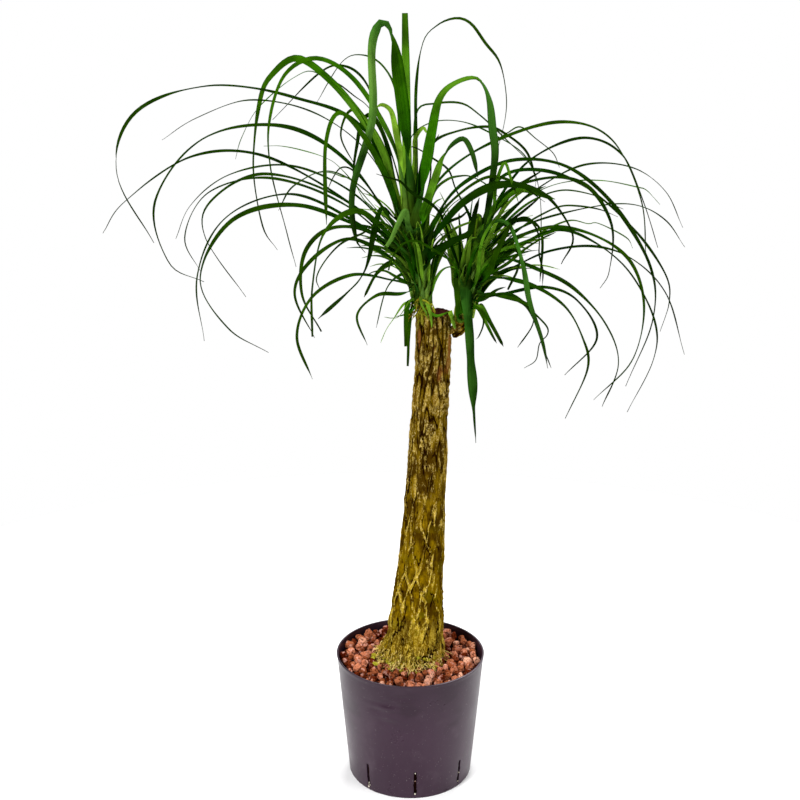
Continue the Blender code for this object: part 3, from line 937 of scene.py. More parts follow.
# %% Bark carving
# The net is two sets of slanting lines that cross, so many round the trunk and so tall a cell.
CELLS_AROUND = 11
CELL_HEIGHT = 0.042
STRAND_HALF = (0.045, 0.15)
STRAND_RISE = 2.3 * MM
PLATE_RISE = 1.8 * MM
GRAIN_RISE = 0.9 * MM
LUMP_RISE = 1.2 * MM
CRACK_DEPTH = 1.5 * MM
# How fine each pattern is, round the trunk and up it.
SLOW, GRIT, KNOBS, SEAMS, SWELLS = (42, 16), (330, 130), (190, 130), (118, 18), (48, 30)
UPRIGHT_FROM, UPRIGHT_FULL = 0.36, 0.60


def off_line(value):
    """How far a number lies from the nearest whole one."""
    return abs(value - round(value))


def bump(value, half):
    """A smooth bump round zero, with a half width."""
    return math.exp(-((value / half) ** 2))


def bark_at(turn, height, radius):
    """Outward move, crest share and crack share at a place on the trunk."""
    skin = Vector((math.cos(turn), math.sin(turn), 0)) * radius
    up = Vector((0, 0, height))

    def on_skin(pattern, x=0, y=0, z=0):
        """A place in a pattern, moved aside so that no two patterns agree."""
        return skin * pattern[0] + up * pattern[1] + Vector((x, y, z))

    slow = on_skin(SLOW)

    def drifting(x, y, z, scale=1.0):
        return noise.noise(slow * scale + Vector((x, y, z)))

    wander = 0.42 * drifting(0, 0, 0) + 0.26 * drifting(4, 4, 4, 2.7)
    drift = 0.42 * drifting(9, 2, 5) + 0.26 * drifting(0, 0, 0, 2.9)
    around = CELLS_AROUND * turn / FULL_TURN
    rows = height / CELL_HEIGHT / 2
    grit = noise.fractal(on_skin(GRIT), 0.7, 2.1, 4)
    knobs = noise.noise(on_skin(KNOBS, 7, 1, 2))
    ragged = 0.10 * grit + 0.07 * knobs
    off_net = min(off_line(around + rows + wander), off_line(around - rows + drift)) + ragged
    broken = eased(drifting(2, 8, 1, 1.9), -0.22, 0.12) * eased(knobs, -0.55, 0.05)
    thin, thick = STRAND_HALF
    half = thin + (thick - thin) * eased(drifting(6, 0, 3, 1.3), -0.35, 0.35)
    strand = bump(off_net, half) * (0.28 + 0.72 * broken)
    net_crack = bump(off_net - 1.6 * half, 0.04) * eased(drifting(3, 3, 8, 2.3), -0.10, 0.30)
    seam = noise.noise(on_skin(SEAMS, 1, 7, 3)) + 0.06 * grit
    seam_crack = bump(seam, 0.060) * eased(drifting(0, 0, 0, 1.6), -0.45, 0.05)
    plate = eased(abs(seam), 0.05, 0.30) * (0.62 + 0.75 * knobs)
    upright = eased(height + 0.05 * drifting(0, 0, 0, 0.5), UPRIGHT_FROM, UPRIGHT_FULL)
    crest = max(0.0, strand * (1 - 0.75 * upright) + plate * 0.80 * upright)
    crack = net_crack * (1 - 0.6 * upright) + seam_crack * upright
    lump = noise.noise(on_skin(SWELLS, 5, 1, 0))
    move = (STRAND_RISE * strand * (1 - 0.6 * upright) + PLATE_RISE * plate * upright
            + GRAIN_RISE * grit * (0.35 + 0.65 * crest) + LUMP_RISE * lump - CRACK_DEPTH * crack)
    return move, min(1.0, crest * (1 + 0.5 * grit)), min(1.0, crack)

# %% Foot folds and carving
ROOT_FLARE, FLARE_LOW, FLARE_TOP = 0.014, 0.150, 0.228
FOLDS_LOW, FOLDS_TOP = 0.165, 0.255
BUTTRESS = 2.2 * MM
SKIN_DRAWN_IN = 1.4 * MM
CUT_EDGE, CUT_HOLLOW, CUT_ROUGH, CUT_OVER = 4 * MM, 3.0 * MM, 2.0 * MM, 2.5 * MM


def fold_at(turn, height):
    """How far the foot's upright folds stand out (+) or in (-) on a bearing."""
    wavy = turn + 0.5 * noise.noise(Vector((2 * math.cos(turn), 2 * math.sin(turn), 28 * height)))
    low = 1 - eased(height, FOLDS_LOW, FOLDS_TOP)
    return low * (math.sin(7 * wavy + 0.8) + 0.6 * math.sin(12 * wavy + 2.0))


def trunk_reach(turn, height):
    """Where the trunk's middle leans to at a height, and its smooth radius on a bearing."""
    _, lean, radius = between(TRUNK_STATIONS, height)
    low = 1 - eased(height, FLARE_LOW, FLARE_TOP)
    flare = ROOT_FLARE * low * max(0.0, -math.cos(turn)) ** 3
    return lean, radius + flare + BUTTRESS * fold_at(turn, height)


def carve_trunk(piece):
    crests, cracks = [], []
    for point in piece.data.vertices:
        place = point.co
        _, lean, radius = between(TRUNK_STATIONS, place.z)
        arm = Vector((place.x - lean, place.y))
        turn = math.atan2(arm.y, arm.x)
        on_wall = eased(arm.length / radius, 0.80, 0.95)
        move, crest, crack = bark_at(turn, place.z, radius)
        swell = trunk_reach(turn, place.z)[1] - radius
        reach = arm.length + on_wall * (move - SKIN_DRAWN_IN + swell)
        place.x = lean + reach * math.cos(turn)
        place.y = reach * math.sin(turn)
        if place.z > TRUNK_CUT - CUT_EDGE:
            hollow = CUT_HOLLOW * (1 - eased(arm.length / radius, 0.30, 0.95))
            rough = CUT_ROUGH * noise.noise(Vector((place.x, place.y, 0)) * 190)
            place.z = min(place.z + rough - hollow, TRUNK_BOX_TOP + CUT_OVER)
        fold = fold_at(turn, place.z)
        # Fold ridges count as crests, and fold hollows as cracks, which the bark's finish paints
        # near black as shade.
        crests.append(min(1.0, crest + 0.6 * eased(fold, 0.35, 1.1)) * on_wall)
        cracks.append(min(1.0, crack + 0.8 * eased(-fold, 0.55, 1.2)) * on_wall)
    store(piece, "crest", crests)
    store(piece, "crack", cracks)


carve_trunk(trunk)
coat(trunk, BARK, CUT)
for face in trunk.data.polygons:
    flat_top = face.center.z > TRUNK_CUT - 2 * CUT_EDGE and face.normal.z > 0.35
    face.material_index = int(flat_top)
trunk.data.shade_smooth()
hand_over(trunk, "bark", "trunk")
print("trunk:", len(trunk.data.polygons), "faces")

# %% [markdown]
# ## Shoots
# Two green shoots grow from the trunk's top. Each is a stem wrapped in the broad bases of its
# leaves, which overlap like scales. It is extruded along its own line in the same way as the
# trunk, then carved with a slanting scale pattern.

# %% Shoot stems
SHOOT_SIDES = 16
# Middle (x, z) and radius in centimetres, from the seat on the trunk to the growing tip.
LEFT_SHOOT = (
    (1.75, 70.6, 1.15), (1.55, 72.0, 1.35), (1.20, 74.5, 1.50), (0.70, 77.5, 1.40),
    (0.20, 80.5, 1.15), (-0.10, 82.5, 0.85), (-0.30, 84.5, 0.35),
)
RIGHT_SHOOT = (
    (5.57, 67.3, 0.80), (6.40, 67.8, 0.95), (7.00, 69.0, 1.20), (7.40, 71.0, 1.45),
    (7.90, 74.0, 1.55), (8.35, 77.5, 1.40), (8.70, 80.5, 1.10), (8.90, 82.5, 0.80),
    (9.00, 84.0, 0.35),
)
SCALE_AROUND = 7
SCALE_RISE = 2.0 * MM
SCALE_TALL = 0.060
RIB_RISE, TORN_RISE = 0.5 * MM, 1.8 * MM
TORN_TOP, TORN_FADE = 0.698, 0.01
BARK_TOP = TORN_TOP - 0.006
RIBS_AROUND, RIBS_ALONG, TORN_GRAIN, MARK_GRAIN = 900, 60, 240, 160


def stem(name, stations, first_way):
    """A stem whose rings stand square to its own line, which lies in the XZ plane."""
    middles = [Vector((x, 0, z)) * CM for x, z, _ in stations]
    ways = [first_way] + [(b - a).normalized() for a, b in zip(middles, middles[1:])]
    bpy.ops.mesh.primitive_circle_add(
        vertices=SHOOT_SIDES, radius=stations[0][2] * CM, fill_type="NGON",
        location=middles[0], rotation=(0, math.atan2(first_way.x, first_way.z), 0))
    made = begin(name)
    facing = first_way
    for i in range(1, len(stations)):
        wanted = (ways[i] + ways[min(i + 1, len(ways) - 1)]).normalized()
        bpy.ops.mesh.extrude_region_move(
            TRANSFORM_OT_translate={"value": middles[i] - middles[i - 1]})
        grow = stations[i][2] / stations[i - 1][2]
        bpy.ops.transform.resize(value=(grow, grow, grow), center_override=middles[i])
        turn = math.atan2(wanted.x, wanted.z) - math.atan2(facing.x, facing.z)
        bpy.ops.transform.rotate(value=-turn, orient_axis="Y", center_override=middles[i])
        facing = wanted
    leave_edit()
    apply(made, "SUBSURF", levels=3, render_levels=3)
    return made


def stem_at(stations, height):
    """Height, middle and radius of a stem, in metres, read at a height."""
    return between([(z * CM, x * CM, radius * CM) for x, z, radius in stations], height)


def carve_scales(piece, stations):
    """Raises slanting leaf bases round the stem, with fine ribs along them and torn bark below."""
    for point in piece.data.vertices:
        _, middle, radius = stem_at(stations, point.co.z)
        arm = Vector((point.co.x - middle, point.co.y, 0))
        if arm.length < 0.4 * radius:
            continue
        turn = math.atan2(arm.y, arm.x) / FULL_TURN * SCALE_AROUND
        wrap = (turn + point.co.z / SCALE_TALL) % 1.0
        fine = noise.noise(Vector((
            arm.x * RIBS_AROUND, arm.y * RIBS_AROUND, point.co.z * RIBS_ALONG)))
        low = 1 - eased(point.co.z, TORN_TOP - TORN_FADE, TORN_TOP)
        torn = noise.fractal(point.co * TORN_GRAIN, 0.8, 2.0, 3) * low
        move = SCALE_RISE * (wrap - 0.5) + RIB_RISE * fine + TORN_RISE * torn
        point.co += arm.normalized() * move
    coat(piece, SHEATH, BARK)
    for face in piece.data.polygons:
        face.material_index = int(face.center.z < BARK_TOP)
    # The negative marks become cracks, which the bark's finish paints near black as shade.
    marks = [noise.noise(point.co * MARK_GRAIN) for point in piece.data.vertices]
    store(piece, "crest", [max(0.0, mark) for mark in marks])
    store(piece, "crack", [max(0.0, -2 * mark) for mark in marks])
    piece.data.shade_smooth()


FIRST_WAYS = (("left", LEFT_SHOOT, (0, 0, 1)), ("right", RIGHT_SHOOT, (1, 0, 0)))
for side, stations, first_way in FIRST_WAYS:
    made = stem(f"stem_{side}", stations, Vector(first_way))
    carve_scales(made, stations)
    hand_over(made, "sheath", f"shoot_{side}")
    print(made.name, tuple(round(v, 3) for v in made.dimensions))

# %% [markdown]
# ## Leaves
# Every leaf is the same thing: a long strap, broad and cupped where it clasps the stem, that
# rises, arches over and thins to a thread. So one flat strip is modelled, with a channel down its
# middle, and each leaf is a copy of it laid along that leaf's own route. The routes are places
# that the leaf passes, joined by a smooth curve.

# %% Leaf blanks
CHANNEL = 0.20
SIDE_CHANNEL = 0.62 * CHANNEL
LONG_STEPS, SHORT_STEPS = 72, 26


def leaf_blank(name, lengthwise, across):
    """A strip one unit long and wide, with its middle pressed down into a channel."""
    bpy.ops.mesh.primitive_grid_add(x_subdivisions=across, y_subdivisions=lengthwise, size=1)
    strip = begin(name)
    pick(strip, "verts", lambda v: abs(v.co.x) < 0.01)
    bpy.ops.transform.translate(value=(0, 0, -CHANNEL))
    if across > 2:
        pick(strip, "verts", lambda v: abs(abs(v.co.x) - 0.25) < 0.01)
        bpy.ops.transform.translate(value=(0, 0, -SIDE_CHANNEL))
    leave_edit()
    return strip


long_blank = leaf_blank("long_blank", LONG_STEPS, 4)
short_blank = leaf_blank("short_blank", SHORT_STEPS, 2)
print("leaf blanks:", len(long_blank.data.vertices), len(short_blank.data.vertices), "points")

# %% Leaf routes
REACH_EASE = 1.6
SEAT_GAP = 0.3 * MM
CURVE_STEPS = 16


def lengths_along(places):
    """How far each place of a route lies from its start."""
    lengths = [0.0]
    for a, b in zip(places, places[1:]):
        lengths.append(lengths[-1] + (b - a).length)
    return lengths


def smooth_route(places, count):
    """Evenly spaced points on a Catmull-Rom curve through the places."""
    ends = [places[0] * 2 - places[1], *places, places[-1] * 2 - places[-2]]
    fine = []
    for a, b, c, d in zip(ends, ends[1:], ends[2:], ends[3:]):
        for k in range(CURVE_STEPS):
            t = k / CURVE_STEPS
            fine.append(0.5 * ((2 * b) + (c - a) * t + (2 * a - 5 * b + 4 * c - d) * t**2
                               + (3 * b - a - 3 * c + d) * t**3))
    fine.append(places[-1])
    lengths = lengths_along(fine)
    route, k = [], 0
    for i in range(count):
        wanted = lengths[-1] * i / (count - 1)
        while k < len(fine) - 2 and lengths[k + 1] < wanted:
            k += 1
        share = (wanted - lengths[k]) / max(1e-9, lengths[k + 1] - lengths[k])
        route.append(fine[k].lerp(fine[k + 1], min(1.0, share)))
    return route, lengths[-1]


def leaf_places(stations, root_height, reach, passes):
    """The places that a leaf passes, from just clear of the shoot, and its way out of it."""
    root_z, axis_x, radius = stem_at(stations, root_height * CM)
    flat = [Vector((axis_x, root_z)), *(Vector(place) * CM for place in passes)]
    lengths = lengths_along(flat)
    shares = [1 - (1 - length / lengths[-1]) ** REACH_EASE for length in lengths]
    outward = Vector((flat[1].x - axis_x, reach * CM * shares[1], 0)).normalized()
    seat = outward * (radius + SEAT_GAP)
    places = [
        Vector((point.x, reach * CM * share + seat.y * (1 - share), point.y))
        for point, share in zip(flat, shares)
    ]
    places[0].x += seat.x
    return places, outward

# %% [markdown]
# A leaf shows its edge, its upper face or its lower face to the front, depending on how it has
# turned on its way. So a leaf is laid with a list of turns, spread evenly from its root to its
# tip: at 0 degrees it stands edge on to the front, at 90 its whole upper face shows, and at -90
# its whole lower face.

# %% Leaf shape
FRONT = Vector((0, -1, 0))
LEAF_THICKNESS = 0.45 * MM
BASE_LENGTH = 0.065
BASE_EXTRA = 4 * MM
# What share of its width a leaf keeps up to its tip, and where its point starts.
THREAD, SHORT_THREAD, BLUNT = 0.42, 0.10, 0.62
POINT_FROM, POINT_LOSS = 0.93, 0.85
THREAD_TAPER, BLUNT_TAPER = 2.2, 4.0
TURN_FROM_SEAT = (0.02, 0.28)
SWAY, SWAY_CIRCLE = 11, 6.28
CUP_AT_ROOT, CUP_LOSS, CUP_TO = 1.9, 1.1, 0.25
RIPPLE, RIPPLE_LENGTH, RIPPLE_ASIDE = 0.5 * MM, 0.013, 2.5
BOX_LOW, BOX_HIGH = (Vector(corner) for corner in CAD_BOX)


def spread(values):
    """One number stands for a leaf that keeps it from root to tip."""
    return values if isinstance(values, tuple) else (values, values)


def read_along(values, share):
    """Eased reading of a short list that is spread evenly along a leaf."""
    spot = share * (len(values) - 1)
    i = min(int(spot), len(values) - 2)
    return values[i] + (values[i + 1] - values[i]) * eased(spot - i, 0, 1)


def half_width(share, length, width, end_share, clasps):
    """Broad where the leaf clasps the stem, then a long taper down to its end share."""
    clasp = clasps * BASE_EXTRA * max(0.0, 1 - share * length / BASE_LENGTH) ** 2
    if end_share == BLUNT:
        taper = 1 - (1 - end_share) * share ** BLUNT_TAPER
    else:
        taper = 1 - (1 - end_share) * share ** THREAD_TAPER
        taper *= 1 - POINT_LOSS * eased(share, POINT_FROM, 1.0)
    return (width * taper + clasp) / 2


def shares_of(leaf):
    """How far along the leaf each of its points is, read from its map."""
    shares = [0.0] * len(leaf.data.vertices)
    for loop, place in zip(leaf.data.loops, leaf.data.uv_layers.active.data):
        shares[loop.vertex_index] = min(1.0, max(0.0, place.uv.y))
    return shares


def lay_strip(name, blank, places, width, turns, tone, outward=None, number=0):
    """A copy of a blank, laid along a route and given its thickness."""
    turns, tones = spread(turns), spread(tone)
    is_long = blank is long_blank
    end_share = BLUNT if width < 0 else THREAD if is_long else SHORT_THREAD
    width = abs(width) * MM
    chance = random.Random(number)
    steps = LONG_STEPS if is_long else SHORT_STEPS
    route, length = smooth_route(places, steps + 1)
    hand = 1 if (outward or places[-1] - places[0]).x < 0 else -1
    seat_turn = read_along(turns, 0)
    if outward:
        seat_turn = math.degrees(math.atan2(outward.y, abs(outward.x)))
    phase, beat = chance.uniform(0, 6.28), chance.uniform(1.2, 2.4)
    frames = []
    for i, middle in enumerate(route):
        share = i / steps
        ahead = (route[min(i + 1, steps)] - route[max(i - 1, 0)]).normalized()
        facing = (FRONT - ahead * FRONT.dot(ahead)).normalized()
        edgeways = hand * ahead.cross(facing)
        freed = eased(share, *TURN_FROM_SEAT) if outward else 1
        sway = SWAY * math.sin(beat * SWAY_CIRCLE * share + phase)
        turn = math.radians(seat_turn * (1 - freed) + freed * (read_along(turns, share) + sway))
        face = edgeways * math.cos(turn) + facing * math.sin(turn)
        half = half_width(share, length, width, end_share, bool(outward))
        frames.append((middle, ahead.cross(face), face, half))
    leaf = blank.copy()
    leaf.data = blank.data.copy()
    leaf.name = leaf.data.name = name
    bpy.context.scene.collection.objects.link(leaf)
    points = []
    for point in blank.data.vertices:
        share = point.co.y + 0.5
        middle, across, face, half = frames[round(share * steps)]
        cup = CUP_AT_ROOT - CUP_LOSS * eased(share, 0.0, CUP_TO)
        wave = math.sin(share * length / RIPPLE_LENGTH + phase + RIPPLE_ASIDE * point.co.x)
        ripple = RIPPLE * wave * abs(point.co.x)
        points.extend(middle + across * (2 * half * point.co.x)
                      + face * (2 * half * (point.co.z + 0.5 * CHANNEL) * cup + ripple))
    leaf.data.vertices.foreach_set("co", points)
    coat(leaf, LEAF_TOP, LEAF_BACK)
    apply(leaf, "SOLIDIFY", thickness=LEAF_THICKNESS, offset=-1, material_offset=1)
    for point in leaf.data.vertices:
        point.co = [min(max(v, low), high) for v, low, high in zip(point.co, BOX_LOW, BOX_HIGH)]
    store(leaf, "tone", [read_along(tones, share) for share in shares_of(leaf)])
    leaf.data.shade_smooth()
    return leaf


def lay_leaf(name, stations, row, number):
    root_height, width, reach, tone, turns, passes = row
    places, outward = leaf_places(stations, root_height, reach, passes)
    return lay_strip(name, long_blank, places, width, turns, tone, outward, number)

# %% [markdown]
# ### The long leaves
# One row is one leaf: the height of its root on the shoot, its width in millimetres (negative
# where its tip is cut blunt), how far its tip lies behind (+) or in front of (-) the shoot, its
# tone, its turns in degrees, and the (x, z) places that it passes. Heights, depths and places are
# in centimetres. A tone or a turn that stays the same along a leaf is one number.

# %% Leaf table
LEFT_LEAVES = (
    (80.5, 7.5, 3, .12, (30, 35, 24, 15, 15, 75, 10, 50), ((-6, 94.5), (-15.5, 99), (-27, 100.5),
        (-37, 97), (-40, 89), (-35.5, 79.5))),
    (80.5, 4.5, 10, .12, 15, ((-5, 90.5), (-12.5, 96.5), (-22, 98.5), (-30, 96), (-35, 93))),
    (80, 8, -5, .12, (30, 30, 25, 20), ((-8, 90.5), (-16.5, 95.5), (-27, 94), (-33.5, 86),
        (-32, 78), (-27.5, 75.5))),
    (79.5, 6, -9, .1, 25, ((-8.5, 86), (-19, 92), (-28, 92), (-36.5, 86.5), (-39.5, 82.5))),
    (79, 4.5, 14, .15, 25, ((-8, 86), (-17, 89.5), (-26, 88), (-32, 83.5), (-34.5, 78.5))),
    (78.5, 6.2, -13, .12, 25, ((-9, 86.5), (-18.5, 90), (-25, 87), (-26, 82.5), (-21, 75))),
    (78, 5.4, 2, .15, 25, ((-9, 85), (-19, 88.5), (-27.5, 86.5), (-31, 80.5), (-29, 75.5))),
    (78.2, 9.5, -16, .15, (30, 35, 30, 20, 10), ((-5.5, 82), (-14.5, 86), (-22.5, 84.5),
        (-26.5, 77.5), (-23, 71.5), (-18, 68.5))),
    (77, 6, 8, .15, 25, ((-7, 82), (-16.5, 86), (-26, 82.5), (-30.5, 74), (-30, 64.5))),
    (82.5, 13.5, 13, (.9, .75, .5, .4, .25, .1), (70, 70, 40, 32, 22, 22), ((-2, 85.5), (-4, 92),
        (-7, 96.5), (-11, 101), (-15.5, 104), (-19, 102), (-21, 98.5), (-22.5, 89), (-21.5, 80.5),
        (-19.5, 77))),
    (82.5, 8.5, -8, (.7, .6, .5, .4, .25, .1), (60, 60, 36, 28, 22, 22), ((-1.5, 90), (-3.5, 95.5),
        (-7.5, 101.5), (-12, 104), (-16, 102), (-18, 96.5), (-18, 90.5), (-16, 82), (-15, 78))),
    (83, 7, 16, .1, (50, 40, 25, 22, 20), ((-1.5, 90), (-4, 95.5), (-6.5, 101), (-9.5, 103),
        (-13, 102), (-20, 95.5))),
    (81.8, 6, 20, .35, (40, 30, 20), ((-1.5, 91.5), (-2, 99), (-4, 103), (-7, 104.5), (-10, 103.5),
        (-14, 97.5))),
    # Partly painted sheen: this leaf's tone rises to .7 where it turns over and falls.
    (83.5, 18, -9, (.3, .35, .35, .4, .7, .6, .38, .3), (60, 85, 85, -50, -48, -35, -30), (
        (-.5, 90.5), (-1, 96.5), (-2.3, 105.5), (-3.2, 108), (-4.2, 107.8), (-5, 105), (-5, 96.5),
        (-7.5, 88), (-7.2, 82), (-6, 80))),
    (80.5, 11, -16, .4, 42, ((-4, 91), (-8.5, 97.5), (-10.5, 94), (-10.5, 84.5))),
    (81.3, 8, 14, .25, 30, ((-4, 91.5), (-8, 97), (-10, 93.5), (-8, 89))),
    (79, 5, -14, .3, 20, ((-4.5, 86.5), (-10, 90.5), (-14.5, 89), (-16.5, 86))),
    (77.5, -10.5, -18, .3, (33, 33, 12, 12), ((-3, 82), (-7, 85.5), (-11, 83), (-12.3, 77),
        (-12.3, 71))),
    (75.7, 7.5, -12, .2, 38, ((-4, 79.5), (-8.5, 81.5), (-13, 79), (-15, 75), (-12.5, 69.5))),
    (76, -7.5, -6, .25, 38, ((-5, 81.5), (-10.5, 82.5), (-14, 79.5), (-14.5, 74), (-12, 69))),
    (74.5, 6.2, -10, .3, (30, 30, 40, 150), ((-3, 75.5), (-8, 76.5), (-13, 74), (-15, 69),
        (-13, 63.5))),
    (74, 6, -14, .35, 35, ((-1.5, 74), (-4.5, 74.5), (-7, 72.5), (-5.7, 69))),
    (82, 9, -12, .1, (40, 40, 120, 200, 260), ((-2.5, 84), (-4, 85), (-5, 82), (-5.5, 79.5),
        (-6.5, 77), (-8.5, 75), (-12, 72))),
    (75, 8, 0, .2, 45, ((-2, 77.3), (-4.5, 76), (-6.5, 72.5))),
    (75, 4, 8, .3, 25, ((-1.5, 75), (-3.5, 72.5), (-5, 66.5))),
    (73, -5.5, -4, .3, 80, ((-.6, 71.5), (-.8, 66.5))),
    (72.5, -4.5, -3, .3, 70, ((-.2, 70), (-.5, 63.5))),
    (83.5, -12, 2, (.9, .7, .55), 90, ((-.6, 92), (-.9, 109.7))),
    (82.6, 5.5, 8, .25, (30, 30, 60, 6, 60, 14, 20), ((.7, 89.5), (.6, 99.5), (1.5, 106),
        (3.5, 108.3), (6, 109.2), (8, 108.5), (10, 106), (12, 103.5), (13, 99.5), (13, 96),
        (12, 91.5))),
    # Painted highlight: this leaf's tone rises to .65 where it arches over.
    (82, 16, -10, (.4, .45, .5, .65, .35, .2, .1), (85, 85, 60, 12, -50, -40, -45), ((1.5, 88),
        (2.5, 94.5), (3.5, 99), (5.5, 101), (8.2, 101.5), (9.5, 99), (10, 95.5), (10.3, 91.5),
        (9, 82.5))),
    (80.5, 12, -14, (.4, .55, .7, .5, .25), (70, 80, 65, -45, -50), ((2.5, 88), (4, 92.5),
        (6, 94.5), (7.2, 93), (8, 90))),
    (81.2, 4, 16, .3, 30, ((.4, 91), (.8, 97), (3.5, 98), (7, 98), (9.5, 96.5), (13.5, 93),
        (17.5, 89), (19, 84.5), (19.5, 77.5))),
    (80.5, 8, 7, .15, (40, 30, 30), ((1.3, 89.3), (3, 93), (6.5, 94.5), (10.5, 95), (13, 94),
        (16, 91.5), (17.5, 87.5))),
    (80.5, 7, 4, .25, 28, ((3.6, 88), (10.5, 93), (20, 95.8), (27, 93.5), (31.5, 85.5),
        (32.7, 77.7))),
    (78.5, 10.5, -8, .1, 28, ((4, 85), (8, 89), (13.5, 91.3), (20, 90.5), (26, 85.8), (31, 78),
        (31.7, 71), (28.5, 62))),
    (77, 15, -18, .08, (40, 35, 25, 22), ((3, 81.5), (6.5, 86.5), (11, 89), (16, 88), (19.3, 83.5),
        (18, 80))),
    (79, 8, -12, .15, 25, ((4, 85), (9, 89.5), (13, 89), (16.5, 86.8))),
)
RIGHT_LEAVES = (
    (81, 6.5, 12, .08, 25, ((12.8, 86.7), (17, 91), (24, 93.4), (29.8, 90.9), (33.5, 84),
        (36, 77.5))),
    (82.5, 7, 4, .1, 30, ((12, 88.5), (17.5, 89.5), (24, 87), (31, 81), (35.5, 75), (36.3, 71),
        (35.3, 66.8))),
    (80, 7, -14, .1, (25, 25, 50, 20), ((12, 87), (17.5, 89.5), (22, 88.5), (24.8, 84),
        (24.6, 78.5), (23.5, 76.3))),
    (79, 4.5, 10, .12, 20, ((11.5, 82), (17, 86.5), (24, 89.8), (31, 89.3), (36, 86), (39, 80.7))),
    (77.5, 4.5, 6, .15, 20, ((12, 80), (17, 82.5), (25, 84.3), (31, 84.5), (35.5, 82.3),
        (38.5, 78.5))),
    (78, 8.5, -4, .28, 30, ((13, 80.3), (19, 82.3), (25, 81), (29.5, 77.5), (31.3, 71.5),
        (30, 64.5), (25, 59))),
    (77.3, 6, -10, .1, 25, ((13.5, 79.5), (19, 82.3), (24, 80.8), (28.5, 77), (31.7, 71),
        (31.7, 66), (28.5, 59))),
    (75.5, 5, 5, .1, 25, ((13, 76), (19, 78.5), (25.5, 79), (31, 77), (36, 72), (39.2, 63.2))),
    (76.2, 8, -12, .15, 25, ((12.3, 78.3), (16.5, 77.3), (21, 75.2), (25, 71), (26.8, 66),
        (24.8, 60.3))),
    (74.5, 8, -18, .2, 25, ((11, 76), (15.5, 75.7), (19.5, 73.5), (21.5, 70), (22, 66.5),
        (19.2, 60.5))),
    (73, 7, -6, .1, 30, ((12, 73.2), (17.6, 74.5), (22, 73), (24.8, 68), (20.6, 63))),
    (79.5, 13, -22, (.2, .35, .45, .38, .2), (-26, -28, -27, -25), ((10.3, 83.5), (12.3, 83.5),
        (13.6, 79.5), (14.2, 75.5), (15.5, 71.5), (16.3, 68))),
    (73.5, 6, -14, .2, 35, ((11.3, 74), (15, 73.5), (15.4, 71.5), (13.4, 68.7))),
    (72, 8.5, -7, (.9, .6, .3, .1), 50, ((9.3, 71.8), (10.8, 69.6), (12.2, 67.2))),
    (76, 18, -9, (.2, .32, .25, .2, .25, .2), (-45, -55, -42, -30, -75, -25, -5), ((7.5, 73),
        (7.8, 69), (8, 65), (8.3, 60), (8.6, 54.4))),
    (78.5, 8, 12, .15, 40, ((12, 81.5), (16.5, 82), (18.8, 79.5), (19, 72.5))),
    (81.5, 12, -6, .55, 45, ((11, 85), (14, 87.5), (18.5, 86.5))),
)


def lay_leaves(label, stations, rows):
    for number, row in enumerate(rows, start=1):
        leaf = lay_leaf(f"blade_{label}_{number:02d}", stations, row, number + len(rows))
        hand_over(leaf, "blade", f"leaf_{label}_{number:02d}")
    print(label, "leaves:", len(rows))


lay_leaves("left", LEFT_SHOOT, LEFT_LEAVES)
lay_leaves("right", RIGHT_SHOOT, RIGHT_LEAVES)

# %% [markdown]
# ### Smaller leaves
# Between the long leaves stand shorter and finer ones: bent young leaves, stubs, curled ends and
# threads. They are laid in the same way. Each row starts with the leaf's name.

